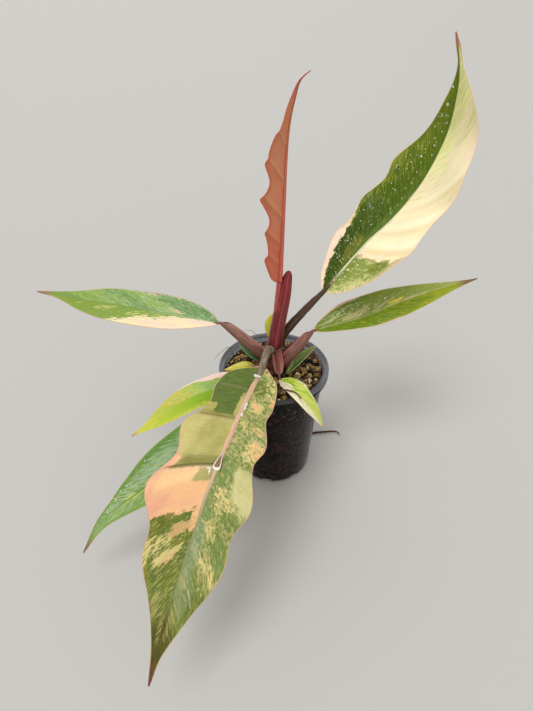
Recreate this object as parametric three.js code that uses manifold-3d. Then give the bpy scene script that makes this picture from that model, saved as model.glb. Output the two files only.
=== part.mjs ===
// A young caramel marble philodendron in a clear nursery pot.
// Millimetres, +Z up, the origin at the centre of the pot's base, the viewer at -Y.
// Every leaf is a blade on a stalk. The stalks grow from a short stem that stands in the potting mix.
import * as THREE from 'three';
import { mergeVertices } from 'three/addons/utils/BufferGeometryUtils.js';
import Module from 'manifold-3d';

const wasm = await Module();
wasm.setup();

const gap = 0.3; // clearance between pieces that touch
const bladeThickness = 0.8;
const ribHalfWidth = 1.4; // of the midrib's keel under a blade
const narrowest = 0.4; // half width of a blade at its tip
const sheathWall = 1.1;

const pot = {
  height: 124,
  rimRadius: 50,
  rimDrop: 5.5,
  rimThickness: 1.3,
  wallTopRadius: 45.6,
  baseRadius: 37,
  baseEdge: 5,
  wall: 1.2,
  sides: 36,
};

const drain = { count: 8, width: 9, height: 6, depth: 9, firstAngle: 35 };

const mix = {
  level: 118,
  dome: 2.5,
  chunks: 42,
  chunkSize: [2.6, 4.4],
  chunkLift: 0.35,
  seed: 11,
};

const stem = {
  root: [0, 0, 88],
  top: [0, -2, 149],
  rootRadius: 6,
  crownRadius: 7.5,
  rings: 4,
  ringHeight: 0.7,
  sides: 14,
};

// Blades: path runs base to tip along the midrib, and face is the upper side's direction at base and tip.
// left and right give the half width at shares of the length, as seen on the upper side with the tip up.
// fold lifts both halves, in degrees, curl turns the margins back down, and waves ripple the margins.
const leaves = {
  front: {
    blade: {
      path: [[-11, -56, 166], [-27, -99, 160], [-45, -145, 142], [-60, -183, 114], [-74, -212, 85],
        [-83, -239, 56]],
      face: [[0, -0.35, 1], [0, -1, 0.8]],
      right: [[0, 3], [0.05, 21], [0.12, 27], [0.19, 25], [0.29, 35], [0.37, 31], [0.48, 41], [0.58, 31],
        [0.67, 28], [0.77, 15], [0.88, 5], [1, 0.5]],
      left: [[0, 3], [0.05, 17], [0.14, 22], [0.19, 21], [0.27, 28], [0.33, 24], [0.46, 33], [0.55, 26],
        [0.64, 27], [0.8, 15], [0.92, 4], [1, 0.5]],
      fold: 12, curl: 0.12, waves: 4.5, waveHeight: 3.5, backLobe: 5, rows: 34, columns: 8, keel: 1.8,
    },
    stalk: {
      path: [[-1, -3, 138], [-3, -12, 151], [-5.2, -23, 160.5], [-8, -39, 165.5], [-10.9, -55.6, 166.1]],
      radius: [4.6, 4, 3.7, 3.3, 2.9], up: [0, 0.3, 1],
    },
    colours: ['#6f8a4a', '#8a6f58'],
  },
  upper_right: {
    blade: {
      path: [[44, 15, 197], [74, 30, 229], [97, 40, 249], [116, 45, 276], [127, 42, 313], [126, 34, 345],
        [120, 24, 366], [110, 12, 385]],
      face: [[-0.35, -0.7, 0.75], [-0.75, -0.8, 0.3]],
      right: [[0, 3], [0.04, 16], [0.12, 29], [0.28, 36], [0.4, 32], [0.5, 34], [0.6, 31], [0.72, 24],
        [0.81, 16], [0.89, 3], [1, 0.5]],
      left: [[0, 3], [0.04, 13], [0.16, 26], [0.23, 24.5], [0.32, 32], [0.43, 28], [0.51, 29], [0.62, 19],
        [0.76, 8], [0.88, 2], [1, 0.5]],
      fold: 18, curl: 0.1, waves: 4, waveHeight: 2.5, backLobe: 4, rows: 28, columns: 8, keel: 1.6,
    },
    stalk: {
      path: [[1, 2, 138], [9, 3, 159], [27, 9, 180], [43.7, 14.8, 196.6]],
      radius: [4.4, 4, 3.7, 3.2], up: [-0.5, -0.5, 1],
    },
    colours: ['#c9cf9a', '#6b4a3c'],
  },
  right: {
    blade: {
      path: [[35, -1, 165], [83, 14, 170], [132, 24, 186], [174, 26, 200]],
      face: [[-0.1, -0.6, 1], [-0.1, -0.6, 1]],
      right: [[0, 2], [0.08, 6], [0.28, 11], [0.5, 14], [0.68, 12], [0.84, 6], [0.94, 2], [1, 0.5]],
      left: [[0, 2], [0.04, 7], [0.12, 14], [0.24, 19], [0.44, 18.5], [0.6, 13.5], [0.8, 6], [0.94, 1.5],
        [1, 0.5]],
      fold: 15, curl: 0.1, waves: 2, waveHeight: 0.8, backLobe: 1, rows: 18, columns: 6, keel: 1.2,
    },
    stalk: {
      path: [[3, -5, 128], [9, -11, 139], [20, -8, 152], [31, -3.5, 164], [34.7, -1.2, 164.8]],
      radius: [3.2, 3, 2.6, 2.1, 1.8], up: [-0.3, 0, 1],
    },
    sheath: {
      path: [[4, -6, 130], [10, -11, 141], [21, -8, 154], [31, -4, 166.5]],
      radius: [5, 5.6, 5, 3.6], open: 90, towards: [-0.5, -0.2, 1], spoon: 0.12,
    },
    colours: ['#7f9f45', '#7d4540'],
  },
  left: {
    blade: {
      path: [[-49, 1, 171], [-87, 10, 173], [-143, 14, 182], [-196, 4, 201]],
      face: [[0.1, -0.6, 1], [0.1, -0.6, 1]],
      right: [[0, 2], [0.04, 8], [0.16, 15], [0.3, 18], [0.48, 17], [0.64, 14], [0.8, 7], [0.92, 3],
        [1, 0.5]],
      left: [[0, 2], [0.08, 7], [0.24, 14], [0.44, 17], [0.64, 16], [0.78, 11], [0.9, 3], [1, 0.5]],
      fold: 12, curl: 0.1, waves: 2, waveHeight: 0.8, backLobe: 1, rows: 18, columns: 6, keel: 1.2,
    },
    stalk: {
      path: [[-2, -3, 136], [-12, -7.5, 144], [-28, -4, 158], [-45, 0, 171], [-48.7, 0.9, 170.8]],
      radius: [3.2, 3, 2.6, 2.1, 1.8], up: [0.3, 0, 1],
    },
    sheath: {
      path: [[-3, -3.5, 138], [-12, -7.5, 146], [-28, -4, 160], [-44, 0, 173.5]],
      radius: [5, 5.6, 5, 3.8], open: 90, towards: [0.5, -0.2, 1], spoon: 0.12,
    },
    colours: ['#6f9a4c', '#7d4a40'],
  },
  lower_left: {
    blade: {
      path: [[-26, -43, 150], [-47, -60, 152], [-67, -67, 148], [-90, -76, 136], [-115, -80, 118]],
      face: [[0, -0.3, 1], [-0.4, -0.5, 1]],
      right: [[0, 2], [0.06, 8], [0.2, 12.5], [0.5, 11.5], [0.7, 8], [0.86, 3], [1, 0.5]],
      left: [[0, 2], [0.1, 8], [0.35, 12.5], [0.5, 13], [0.68, 9], [0.86, 4], [1, 0.5]],
      fold: 12, curl: 0.1, waves: 2, waveHeight: 0.6, backLobe: 1, rows: 15, columns: 6, keel: 1.1,
    },
    stalk: {
      path: [[-2, -4, 126], [-10, -16, 138], [-19, -31, 147], [-25.8, -42.8, 149.7]],
      radius: [3.4, 3, 2.4, 1.8], up: [0.2, 0.2, 1],
    },
    colours: ['#93ad45', '#7d4a40'],
  },
  hanging_left: {
    blade: {
      path: [[-20, -49, 140], [-46, -86, 138], [-74, -105, 122], [-101, -115, 98], [-139, -120, 62],
        [-160, -130, 29]],
      face: [[0, -0.3, 1], [-0.6, -0.8, 0.8]],
      right: [[0, 2], [0.08, 10], [0.2, 17], [0.36, 20], [0.5, 20], [0.64, 15], [0.76, 7], [0.87, 3],
        [1, 0.5]],
      left: [[0, 2], [0.08, 9], [0.3, 16], [0.5, 15], [0.64, 11], [0.8, 7], [0.92, 3], [1, 0.5]],
      fold: 12, curl: 0.1, waves: 2.5, waveHeight: 0.8, backLobe: 1, rows: 22, columns: 6, keel: 1.3,
    },
    stalk: {
      path: [[-1, -4, 120], [-6, -20, 132], [-13, -36, 139.5], [-19.8, -48.8, 140]],
      radius: [3.4, 3, 2.6, 2], up: [0.2, 0.2, 1],
    },
    colours: ['#5f8f4a', '#7d4a40'],
  },
  new: {
    blade: {
      path: [[3.6, 0, 212.9], [5.4, 3, 269], [6.9, 7, 311.8], [8.8, 8, 333.3], [12, 8, 348.3], [15, 6, 359],
        [21, 3, 365.3]],
      face: [[-1, -0.1, 0], [-1, -0.1, 0.2]],
      right: [[0, 2], [0.05, 8], [0.12, 12], [0.17, 10.5], [0.27, 14], [0.335, 10.5], [0.43, 16.5],
        [0.52, 11.5], [0.61, 13.5], [0.7, 8], [0.79, 4.5], [0.92, 2.2], [1, 0.5]],
      left: [[0, 2], [0.08, 9], [0.18, 12], [0.25, 10.5], [0.34, 13], [0.41, 10], [0.5, 13], [0.58, 10],
        [0.7, 8], [0.8, 4], [0.92, 2], [1, 0.5]],
      fold: 62, curl: 0, waves: 5, waveHeight: 2, backLobe: 0, rows: 32, columns: 6, keel: 1.2,
    },
    stalk: {
      path: [[1.5, -1.5, 149.4], [1.6, -1.2, 165], [2, -1, 188], [3.6, 0, 212.6]],
      radius: [3, 2.8, 2.5, 2.1], up: [1, 0, 0],
    },
    colours: ['#b5543f', '#b5493c'],
  },
  small_back: {
    blade: {
      path: [[0.8, 9, 143], [1, 14, 155], [1.2, 20.5, 168.5]],
      face: [[0, -0.8, 0.6], [0, -0.8, 0.4]],
      right: [[0, 1.2], [0.2, 6], [0.5, 9.5], [0.75, 8.5], [0.9, 5], [1, 0.5]],
      left: [[0, 1.2], [0.2, 6], [0.5, 9.5], [0.75, 8.5], [0.9, 5], [1, 0.5]],
      fold: 10, curl: 0.1, waves: 1, waveHeight: 0, backLobe: 0, rows: 9, columns: 4, keel: 0.8,
    },
    stalk: {
      path: [[0, 2, 131], [0.5, 6, 136], [0.8, 8.8, 142.7]],
      radius: [2.4, 2, 1.4], up: [0, -1, 0.5],
    },
    colours: ['#b5b545', '#8a7a40'],
  },
  small_left: {
    blade: {
      path: [[-12, -6, 135], [-21, -2, 142], [-31.5, 8, 143]],
      face: [[0.3, -0.5, 1], [0.3, -0.5, 1]],
      right: [[0, 1.2], [0.3, 4], [0.6, 3.6], [1, 0.5]],
      left: [[0, 1.2], [0.3, 5.5], [0.6, 5], [1, 0.5]],
      fold: 20, curl: 0, waves: 1, waveHeight: 0, backLobe: 0, rows: 8, columns: 4, keel: 0.6,
    },
    stalk: {
      path: [[-2, -1, 125], [-8, -4, 129], [-11.8, -5.9, 134.7]],
      radius: [2.2, 1.7, 1.3], up: [0, -0.3, 1],
    },
    colours: ['#4f7a40', '#6a7a40'],
  },
  small_front_left: {
    blade: {
      path: [[-13, -14, 131], [-25, -20, 141], [-43, -21, 137]],
      face: [[0, -0.4, 1], [0, -0.4, 1]],
      right: [[0, 1.2], [0.35, 4.2], [0.7, 3.2], [1, 0.5]],
      left: [[0, 1.2], [0.35, 4.2], [0.7, 3.2], [1, 0.5]],
      fold: 15, curl: 0.1, waves: 1, waveHeight: 0, backLobe: 0, rows: 9, columns: 4, keel: 0.6,
    },
    stalk: {
      path: [[-2, -3, 117], [-8, -10, 123], [-12.8, -13.9, 130.7]],
      radius: [2.2, 1.7, 1.3], up: [0, -0.3, 1],
    },
    colours: ['#c8c23f', '#a8a040'],
  },
  small_right: {
    blade: {
      path: [[11, -16.5, 129], [24, -8, 138], [38, 7, 141.5]],
      face: [[-0.2, -0.5, 1], [-0.2, -0.3, 1]],
      right: [[0, 1.2], [0.25, 4.5], [0.6, 4.8], [0.85, 2.5], [1, 0.5]],
      left: [[0, 1.2], [0.25, 4.5], [0.6, 4.8], [0.85, 2.5], [1, 0.5]],
      fold: 28, curl: 0, waves: 1, waveHeight: 0, backLobe: 0, rows: 10, columns: 4, keel: 0.7,
    },
    stalk: {
      path: [[2, -3, 116], [7, -11, 121], [10.8, -16.3, 128.7]],
      radius: [2.2, 1.7, 1.3], up: [0, -0.3, 1],
    },
    colours: ['#5f8540', '#6a7a40'],
  },
  small_front: {
    blade: {
      path: [[5, -37, 140], [17, -56, 143], [29, -62, 131], [40, -64, 112]],
      face: [[0.2, -0.3, 1], [0.5, -0.5, 0.8]],
      right: [[0, 1.5], [0.15, 6], [0.4, 7], [0.6, 8], [0.75, 5.5], [0.9, 2.5], [1, 0.5]],
      left: [[0, 1.5], [0.06, 9], [0.25, 12], [0.5, 10.5], [0.7, 8], [0.87, 4], [1, 0.5]],
      fold: 12, curl: 0.1, waves: 1, waveHeight: 0.4, backLobe: 1, rows: 14, columns: 6, keel: 0.8,
    },
    stalk: {
      path: [[1, -4, 146], [2, -13, 149], [3, -26, 146], [4.8, -36.8, 140.1]],
      radius: [2.6, 2.4, 2, 1.4], up: [0, 0, 1],
    },
    sheath: {
      path: [[1, -5, 147], [2, -13, 150.5], [3, -24, 148.5], [4.4, -33, 144]],
      radius: [3.4, 5, 4.6, 2], open: 110, towards: [0, 0.2, 1], spoon: 0.15,
    },
    colours: ['#b3cf3f', '#7d4540'],
  },
};

// The new leaf's stalk rises out of this red bract, which is open along its left.
const bract = {
  path: [[0.5, -2, 149.4], [2.2, -1, 164], [5, 0, 182], [8, 0.5, 200], [11.2, 2, 223.5]],
  radius: [6.6, 6.4, 6.2, 5.8, 4.4], open: 80, towards: [-0.8, 0.8, 0], spoon: 0.16,
};

// Thin roots: one has grown out of a drain hole on to the table, one arches over the mix to the rim.
const roots = {
  root_out: {
    path: [[24, 16.5, 3.2], [34, 24, 2.6], [46, 29, 1.5], [58, 30.5, 1.4], [70, 31, 1.4]],
    radius: 1.1,
  },
  root_over_mix: {
    path: [[3, 3, 126], [11, 12, 134], [22, 23, 134], [31.5, 25, 127], [38.5, 16, 124.5], [42, 6, 122],
      [42, -2, 119.5], [40.5, -8, 115]],
    radius: 0.7,
  },
};

const vector = (p) => new THREE.Vector3(...p);

// A smooth line through the given points, read at shares of its length.
function lineThrough(points) {
  const curve = new THREE.CatmullRomCurve3(points.map(vector), false, 'catmullrom', 0.5);
  curve.arcLengthDivisions = 400;
  return curve;
}

// The value at share t of a list of [share, value] points, along a smooth curve through them.
function profileAt(points, t) {
  let k = 0;
  while (k < points.length - 2 && t > points[k + 1][0]) k += 1;
  const [a, b] = [points[k], points[k + 1]];
  const before = points[Math.max(0, k - 1)];
  const after = points[Math.min(points.length - 1, k + 2)];
  const u = (t - a[0]) / (b[0] - a[0]);
  const span = b[0] - a[0];
  const slopeA = ((b[1] - before[1]) / (b[0] - before[0])) * span;
  const slopeB = ((after[1] - a[1]) / (after[0] - a[0])) * span;
  const square = u * u;
  const cube = square * u;
  const rise = 3 * square - 2 * cube;
  return a[1] * (1 - rise) + b[1] * rise + slopeA * (cube - 2 * square + u) + slopeB * (cube - square);
}

// The value at share t of a list spread evenly over the length.
function spreadAt(values, t) {
  return profileAt(values.map((value, i) => [i / (values.length - 1), value]), t);
}

// A point of the blade's middle surface: s runs from -1 at the left margin to 1 at the right.
function bladePoint(blade, line, t, s) {
  const centre = line.getPointAt(t);
  const tangent = line.getTangentAt(t);
  const face = vector(blade.face[0]).lerp(vector(blade.face[1]), t);
  const right = tangent.clone().cross(face).normalize();
  const normal = right.clone().cross(tangent);
  const share = Math.abs(s);
  const width = Math.max(narrowest, profileAt(s < 0 ? blade.left : blade.right, t));
  const fold = THREE.MathUtils.degToRad(blade.fold);
  const phase = s < 0 ? 1.5 : 0;
  const wave = blade.waveHeight * Math.sin(Math.PI * t) * Math.sin(2 * Math.PI * blade.waves * t + phase);
  const lift = width * (share * Math.sin(fold) - blade.curl * share * share) + wave * share * share;
  const lobe = blade.backLobe * Math.max(0, 1 - t / 0.12) ** 2 * share * share;
  return centre
    .addScaledVector(right, Math.sign(s) * width * share * Math.cos(fold))
    .addScaledVector(normal, lift)
    .addScaledVector(tangent, -lobe);
}

// A blade as one closed thin solid, split alike on both faces, with the midrib as a keel below.
// grow makes it larger all round, for cutting its stalk clear of it.
function bladeGeometry(blade, grow = 0) {
  const line = lineThrough(blade.path);
  const half = blade.columns / 2;
  const step = 0.004;
  const top = [];
  const bottom = [];
  for (let i = 0; i <= blade.rows; i += 1) {
    const t = i / blade.rows;
    for (let j = -half; j <= half; j += 1) {
      const side = Math.sign(j);
      const width = Math.max(narrowest, profileAt(j < 0 ? blade.left : blade.right, t));
      const rib = Math.min(0.3, ribHalfWidth / width);
      const share = j === 0 ? 0 : rib + ((1 - rib) * (Math.abs(j) - 1)) / (half - 1);
      const s = side * share;
      const here = bladePoint(blade, line, t, s);
      const alongT = bladePoint(blade, line, Math.min(1, t + step), s)
        .sub(bladePoint(blade, line, Math.max(0, t - step), s));
      const across = bladePoint(blade, line, t, Math.min(1, s + 0.05))
        .sub(bladePoint(blade, line, t, Math.max(-1, s - 0.05)));
      const outward = Math.abs(j) === half ? across.clone().setLength(grow * side) : new THREE.Vector3();
      const endGrow = { 0: -grow, [blade.rows]: grow }[i] ?? 0;
      outward.addScaledVector(alongT.clone().normalize(), endGrow);
      const normal = across.cross(alongT).normalize();
      const keel = j === 0 ? blade.keel * (1 - 0.75 * t) : 0;
      here.add(outward);
      top.push(here.clone().addScaledVector(normal, bladeThickness / 2 + grow));
      bottom.push(here.clone().addScaledVector(normal, -bladeThickness / 2 - keel - grow));
    }
  }
  return closedSheet(top, bottom, blade.rows + 1, blade.columns + 1);
}

// Joins a grid of top points and its twin of bottom points into one closed body.
function closedSheet(top, bottom, rows, columns) {
  const positions = [...top, ...bottom].flatMap((p) => [p.x, p.y, p.z]);
  const count = rows * columns;
  const index = [];
  for (let i = 0; i < rows - 1; i += 1) {
    for (let j = 0; j < columns - 1; j += 1) {
      const a = i * columns + j;
      const b = a + 1;
      const c = b + columns;
      const d = a + columns;
      const split = j < (columns - 1) / 2 ? [a, b, c, a, c, d] : [a, b, d, b, c, d];
      index.push(...split);
      for (let k = 0; k < 6; k += 3) {
        index.push(split[k] + count, split[k + 2] + count, split[k + 1] + count);
      }
    }
  }
  const border = [];
  for (let j = 0; j < columns; j += 1) border.push(j);
  for (let i = 1; i < rows; i += 1) border.push(i * columns + columns - 1);
  for (let j = columns - 2; j >= 0; j -= 1) border.push((rows - 1) * columns + j);
  for (let i = rows - 2; i > 0; i -= 1) border.push(i * columns);
  border.forEach((p, k) => {
    const q = border[(k + 1) % border.length];
    index.push(p, p + count, q + count, p, q + count, q);
  });
  return indexed(positions, index);
}

function indexed(positions, index) {
  return new THREE.BufferGeometry()
    .setAttribute('position', new THREE.Float32BufferAttribute(positions, 3))
    .setIndex(index);
}

// Sweeps a flat section along a line. sectionAt gives the section's points, anticlockwise, at a share of
// the length. endOf gives the share at which each point's edge ends, for a sheath that ends like a spoon.
function swept({ points, up, sectionAt, steps, endOf = () => 1 }) {
  const line = lineThrough(points);
  const template = sectionAt(0);
  const positions = [];
  for (let i = 0; i <= steps; i += 1) {
    template.forEach((_, k) => {
      const t = (i / steps) * endOf(k, template.length);
      const tangent = line.getTangentAt(t);
      const upward = vector(up);
      upward.addScaledVector(tangent, -upward.dot(tangent)).normalize();
      const side = upward.clone().cross(tangent);
      const [x, y] = sectionAt(t)[k];
      const p = line.getPointAt(t).addScaledVector(side, x).addScaledVector(upward, y);
      positions.push(p.x, p.y, p.z);
    });
  }
  const n = template.length;
  const index = [];
  for (let i = 0; i < steps; i += 1) {
    for (let k = 0; k < n; k += 1) {
      const a = i * n + k;
      const b = i * n + ((k + 1) % n);
      index.push(a, b, b + n, a, b + n, a + n);
    }
  }
  const cap = THREE.ShapeUtils.triangulateShape(template.map(([x, y]) => new THREE.Vector2(x, y)), []);
  cap.forEach(([a, b, c]) => index.push(a, c, b, a + steps * n, b + steps * n, c + steps * n));
  return indexed(positions, index);
}

// A round stalk or root with a radius that changes along it.
function roundStalk({ path, radius, up }, grow = 0, sides = 8, steps = 3 * (path.length - 1)) {
  const radii = Array.isArray(radius) ? radius : [radius, radius];
  const sectionAt = (t) => Array.from({ length: sides }, (_, k) => {
    const angle = (2 * Math.PI * k) / sides;
    const r = spreadAt(radii, t) + grow;
    return [r * Math.cos(angle), r * Math.sin(angle)];
  });
  return swept({ points: path, up, sectionAt, steps });
}

// A sheath: a tube with a slit that faces `towards`, its wings thin and its end rounded like a spoon.
function sheathGeometry({ path, radius, open, towards, spoon }, grow = 0) {
  const pointsRound = 7;
  const halfArc = Math.PI - THREE.MathUtils.degToRad(open / 2);
  const sectionAt = (t) => {
    const outer = spreadAt(radius, t) + grow;
    const inner = spreadAt(radius, t) - sheathWall - grow;
    const arc = (r, sign) => Array.from({ length: pointsRound }, (_, k) => {
      const angle = -Math.PI / 2 + sign * halfArc * ((2 * k) / (pointsRound - 1) - 1);
      return [r * Math.cos(angle), r * Math.sin(angle)];
    });
    return [...arc(outer, 1), ...arc(Math.max(0.5, inner), -1)];
  };
  const endOf = (k) => {
    const around = (2 * (k % pointsRound)) / (pointsRound - 1) - 1;
    return 1 - spoon * around ** 4;
  };
  return swept({ points: path, up: towards, sectionAt, steps: 7, endOf });
}

// A closed body of revolution from a profile of [radius, height] points that starts and ends on the axis.
function turned(profile, sides) {
  const geometry = new THREE.LatheGeometry(profile.map(([r, z]) => new THREE.Vector2(r, z)), sides);
  return geometry.rotateX(Math.PI / 2);
}

// Points of an arc round centre, between two angles in degrees.
function arcPoints(centre, radius, from, to, count) {
  return Array.from({ length: count + 1 }, (_, k) => {
    const angle = THREE.MathUtils.degToRad(from + ((to - from) * k) / count);
    return [centre[0] + radius * Math.cos(angle), centre[1] + radius * Math.sin(angle)];
  });
}

// A geometry as a solid for joining and cutting, with doubled points and empty triangles left out.
function solidOf(geometry) {
  const bare = geometry.clone();
  bare.deleteAttribute('normal');
  bare.deleteAttribute('uv');
  const merged = mergeVertices(bare, 1e-4);
  const whole = [];
  for (let i = 0; i < merged.index.count; i += 3) {
    const [a, b, c] = [0, 1, 2].map((k) => merged.index.getX(i + k));
    if (a !== b && b !== c && c !== a) whole.push(a, b, c);
  }
  return new wasm.Manifold(new wasm.Mesh({
    numProp: 3,
    vertProperties: merged.attributes.position.array,
    triVerts: new Uint32Array(whole),
  }));
}

// The largest body of a solid as a geometry, without loose scraps.
function geometryOf(solid) {
  const body = solid.decompose().reduce((best, next) => (next.volume() > best.volume() ? next : best));
  const mesh = body.getMesh();
  return indexed(Array.from(mesh.vertProperties), Array.from(mesh.triVerts));
}

// The radius of the wall's outside at a height above the rounded base edge.
function outerRadiusAt(z) {
  const share = (z - pot.baseEdge) / (pot.height - pot.rimThickness - pot.baseEdge);
  return pot.baseRadius + (pot.wallTopRadius - pot.baseRadius) * share;
}

// The pot: a tapered wall on a rounded base edge, a flat rim with a turned-down lip, and drain holes
// round the foot.
function potSolid() {
  const { height, rimRadius, rimDrop, rimThickness, wallTopRadius, baseRadius, baseEdge, wall } = pot;
  const underRim = height - rimThickness;
  const profile = [
    [0, 0],
    ...arcPoints([baseRadius - baseEdge, baseEdge], baseEdge, -90, 0, 3),
    [wallTopRadius, underRim],
    [rimRadius - rimThickness, underRim],
    [rimRadius - rimThickness, height - rimDrop],
    [rimRadius, height - rimDrop],
    [rimRadius, height - 1],
    [rimRadius - 1, height],
    [wallTopRadius - wall + 0.6, height],
    [wallTopRadius - wall, underRim],
    ...arcPoints([baseRadius - baseEdge, baseEdge], baseEdge - wall, 0, -90, 3),
    [0, wall],
  ];
  let solid = solidOf(turned(profile, pot.sides));
  for (let k = 0; k < drain.count; k += 1) {
    const hole = new THREE.BoxGeometry(drain.depth, drain.width, drain.height);
    hole.translate(baseRadius, 0, drain.height / 2);
    hole.rotateZ(THREE.MathUtils.degToRad(drain.firstAngle + (360 * k) / drain.count));
    solid = solid.subtract(solidOf(hole));
  }
  return solid;
}

// A small seeded generator, so that the chunks always fall the same way.
function seeded(seed) {
  let state = seed;
  return () => {
    state = (state * 1664525 + 1013904223) % 4294967296;
    return state / 4294967296;
  };
}

// The potting mix fills the pot and carries chunks of bark and pumice on its top.
function mixSolid() {
  const { wall, baseRadius, baseEdge } = pot;
  const inside = wall + gap;
  const levelRadius = outerRadiusAt(mix.level) - inside;
  const profile = [
    [0, inside],
    ...arcPoints([baseRadius - baseEdge, baseEdge], baseEdge - inside, -90, 0, 3),
    [levelRadius, mix.level],
    [levelRadius * 0.7, mix.level + mix.dome * 0.5],
    [levelRadius * 0.35, mix.level + mix.dome * 0.9],
    [0, mix.level + mix.dome],
  ];
  let solid = solidOf(turned(profile, pot.sides));
  const random = seeded(mix.seed);
  const between = (low, high) => low + (high - low) * random();
  const goldenAngle = Math.PI * (3 - Math.sqrt(5));
  for (let k = 0; k < mix.chunks; k += 1) {
    const size = between(...mix.chunkSize);
    const share = Math.sqrt((k + 2) / (mix.chunks + 2));
    const reach = (levelRadius - 1.3 * size) * share;
    const angle = k * goldenAngle + between(-0.3, 0.3);
    const top = mix.level + mix.dome * (1 - share * share);
    const chunk = new THREE.IcosahedronGeometry(size, 0);
    chunk.scale(between(0.8, 1.25), between(0.7, 1), between(0.55, 0.85));
    chunk.rotateX(between(-0.6, 0.6)).rotateY(between(-0.6, 0.6)).rotateZ(between(0, Math.PI));
    const lift = size * mix.chunkLift * between(-0.2, 1);
    chunk.translate(reach * Math.cos(angle), reach * Math.sin(angle), top + lift);
    solid = solid.add(solidOf(chunk));
  }
  return solid;
}

// The stem: a short column that swells at each ring where an older leaf has dropped.
function stemGeometry(grow = 0) {
  const steps = 4 * stem.rings;
  const sectionAt = (t) => Array.from({ length: stem.sides }, (_, k) => {
    const angle = (2 * Math.PI * k) / stem.sides;
    const body = stem.rootRadius + (stem.crownRadius - stem.rootRadius) * Math.min(1, 1.6 * t);
    const ring = stem.ringHeight * Math.max(0, Math.cos(2 * Math.PI * stem.rings * t)) ** 2;
    const r = body + ring + grow;
    return [r * Math.cos(angle), r * Math.sin(angle)];
  });
  const foot = [stem.root[0], stem.root[1], stem.root[2] - grow];
  const head = [stem.top[0], stem.top[1], stem.top[2] + grow];
  const middle = foot.map((c, i) => (c + head[i]) / 2);
  return swept({ points: [foot, middle, head], up: [0, 1, 0], sectionAt, steps });
}

const plant = new THREE.Group();
const taken = [solidOf(stemGeometry(gap))]; // what later pieces keep clear of, each slightly enlarged

function addPiece(name, geometry, colour, roughness = 0.5) {
  const material = new THREE.MeshStandardMaterial({ color: colour, roughness, metalness: 0 });
  const mesh = new THREE.Mesh(geometry, material);
  mesh.name = name;
  plant.add(mesh);
}

function clearOf(solid, others) {
  return others.reduce((left, other) => left.subtract(other), solid);
}

function rootSolid({ path, radius }, grow) {
  return solidOf(roundStalk({ path, radius, up: [0.1, 0.2, 1] }, grow, 6, 4 * path.length));
}

function stalkSolid({ stalk, sheath }, grow) {
  const solid = solidOf(roundStalk(stalk, grow));
  return sheath ? solid.add(solidOf(sheathGeometry(sheath, grow))) : solid;
}

addPiece('stem', geometryOf(solidOf(stemGeometry())), '#7a5a45', 0.7);
for (const [name, leaf] of Object.entries(leaves)) {
  const [bladeColour, stalkColour] = leaf.colours;
  addPiece(`${name}_blade`, geometryOf(solidOf(bladeGeometry(leaf.blade))), bladeColour);
  const ownBlade = solidOf(bladeGeometry(leaf.blade, gap));
  addPiece(`${name}_stalk`, geometryOf(clearOf(stalkSolid(leaf, 0), [...taken, ownBlade])), stalkColour);
  taken.push(stalkSolid(leaf, gap), ownBlade);
}

addPiece('new_bract', geometryOf(clearOf(solidOf(sheathGeometry(bract)), taken)), '#9c2f35', 0.35);
taken.push(solidOf(sheathGeometry(bract, gap)));

for (const [name, root] of Object.entries(roots)) {
  addPiece(name, geometryOf(clearOf(rootSolid(root, 0), taken)), '#7a3f2c', 0.8);
  taken.push(rootSolid(root, gap));
}

addPiece('potting_mix', geometryOf(clearOf(mixSolid(), taken)), '#4a3a2a', 1);
addPiece('pot', geometryOf(potSolid()), '#55585c', 0.25);

export default plant;
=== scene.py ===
import bpy
import math
import random
import numpy as np
from mathutils import Matrix, Vector


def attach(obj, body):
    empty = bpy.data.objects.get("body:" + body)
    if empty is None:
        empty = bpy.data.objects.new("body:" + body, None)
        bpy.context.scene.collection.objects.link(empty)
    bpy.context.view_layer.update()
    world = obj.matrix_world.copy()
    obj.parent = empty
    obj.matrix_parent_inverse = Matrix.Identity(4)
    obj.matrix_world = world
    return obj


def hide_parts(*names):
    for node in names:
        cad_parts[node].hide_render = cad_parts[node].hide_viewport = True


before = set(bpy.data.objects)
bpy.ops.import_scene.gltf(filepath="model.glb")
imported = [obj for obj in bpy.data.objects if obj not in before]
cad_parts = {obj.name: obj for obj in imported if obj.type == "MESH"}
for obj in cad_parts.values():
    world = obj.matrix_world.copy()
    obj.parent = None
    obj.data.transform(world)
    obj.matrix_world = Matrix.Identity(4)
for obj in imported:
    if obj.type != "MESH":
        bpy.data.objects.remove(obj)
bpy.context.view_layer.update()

mm = 0.001  # the shapes below are given in millimetres

# Camera, floor and lights

view = {
    "place": (-6.7, -368.2, 441.4),
    "downTilt": 39.69,
    "focalPixels": 534,
    "pictureHeight": 711,
    "sensor": 36,
    "nearClip": 0.01,
}

studio = {
    "floorSize": 60,
    "floorColour": "bcbab6",
    "worldColour": "f6f5f2",
    "worldStrength": 0.73,
    "viewTransform": "Standard",
    "lamps": [
        {"name": "keyLight", "towards": (0.25, 0.3, -1.0), "spread": 24, "power": 1.22},
        {"name": "fillLight", "towards": (0, 0.8, -0.6), "spread": 70, "power": 0.6},
        {"name": "backLight", "towards": (0.3, -0.9, -0.5), "spread": 60, "power": 0.25},
    ],
}


def deselectAll():
    if bpy.context.mode != "OBJECT":
        bpy.ops.object.mode_set(mode="OBJECT")
    bpy.ops.object.select_all(action="DESELECT")


def makeActive(piece):
    deselectAll()
    piece.select_set(True)
    bpy.context.view_layer.objects.active = piece


def linearOf(code):
    # a web colour as Blender's linear red, green, blue and alpha
    values = [int(code[k:k + 2], 16) / 255 for k in (0, 2, 4)]
    return [v / 12.92 if v <= 0.04045 else ((v + 0.055) / 1.055) ** 2.4 for v in values] + [1]


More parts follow.
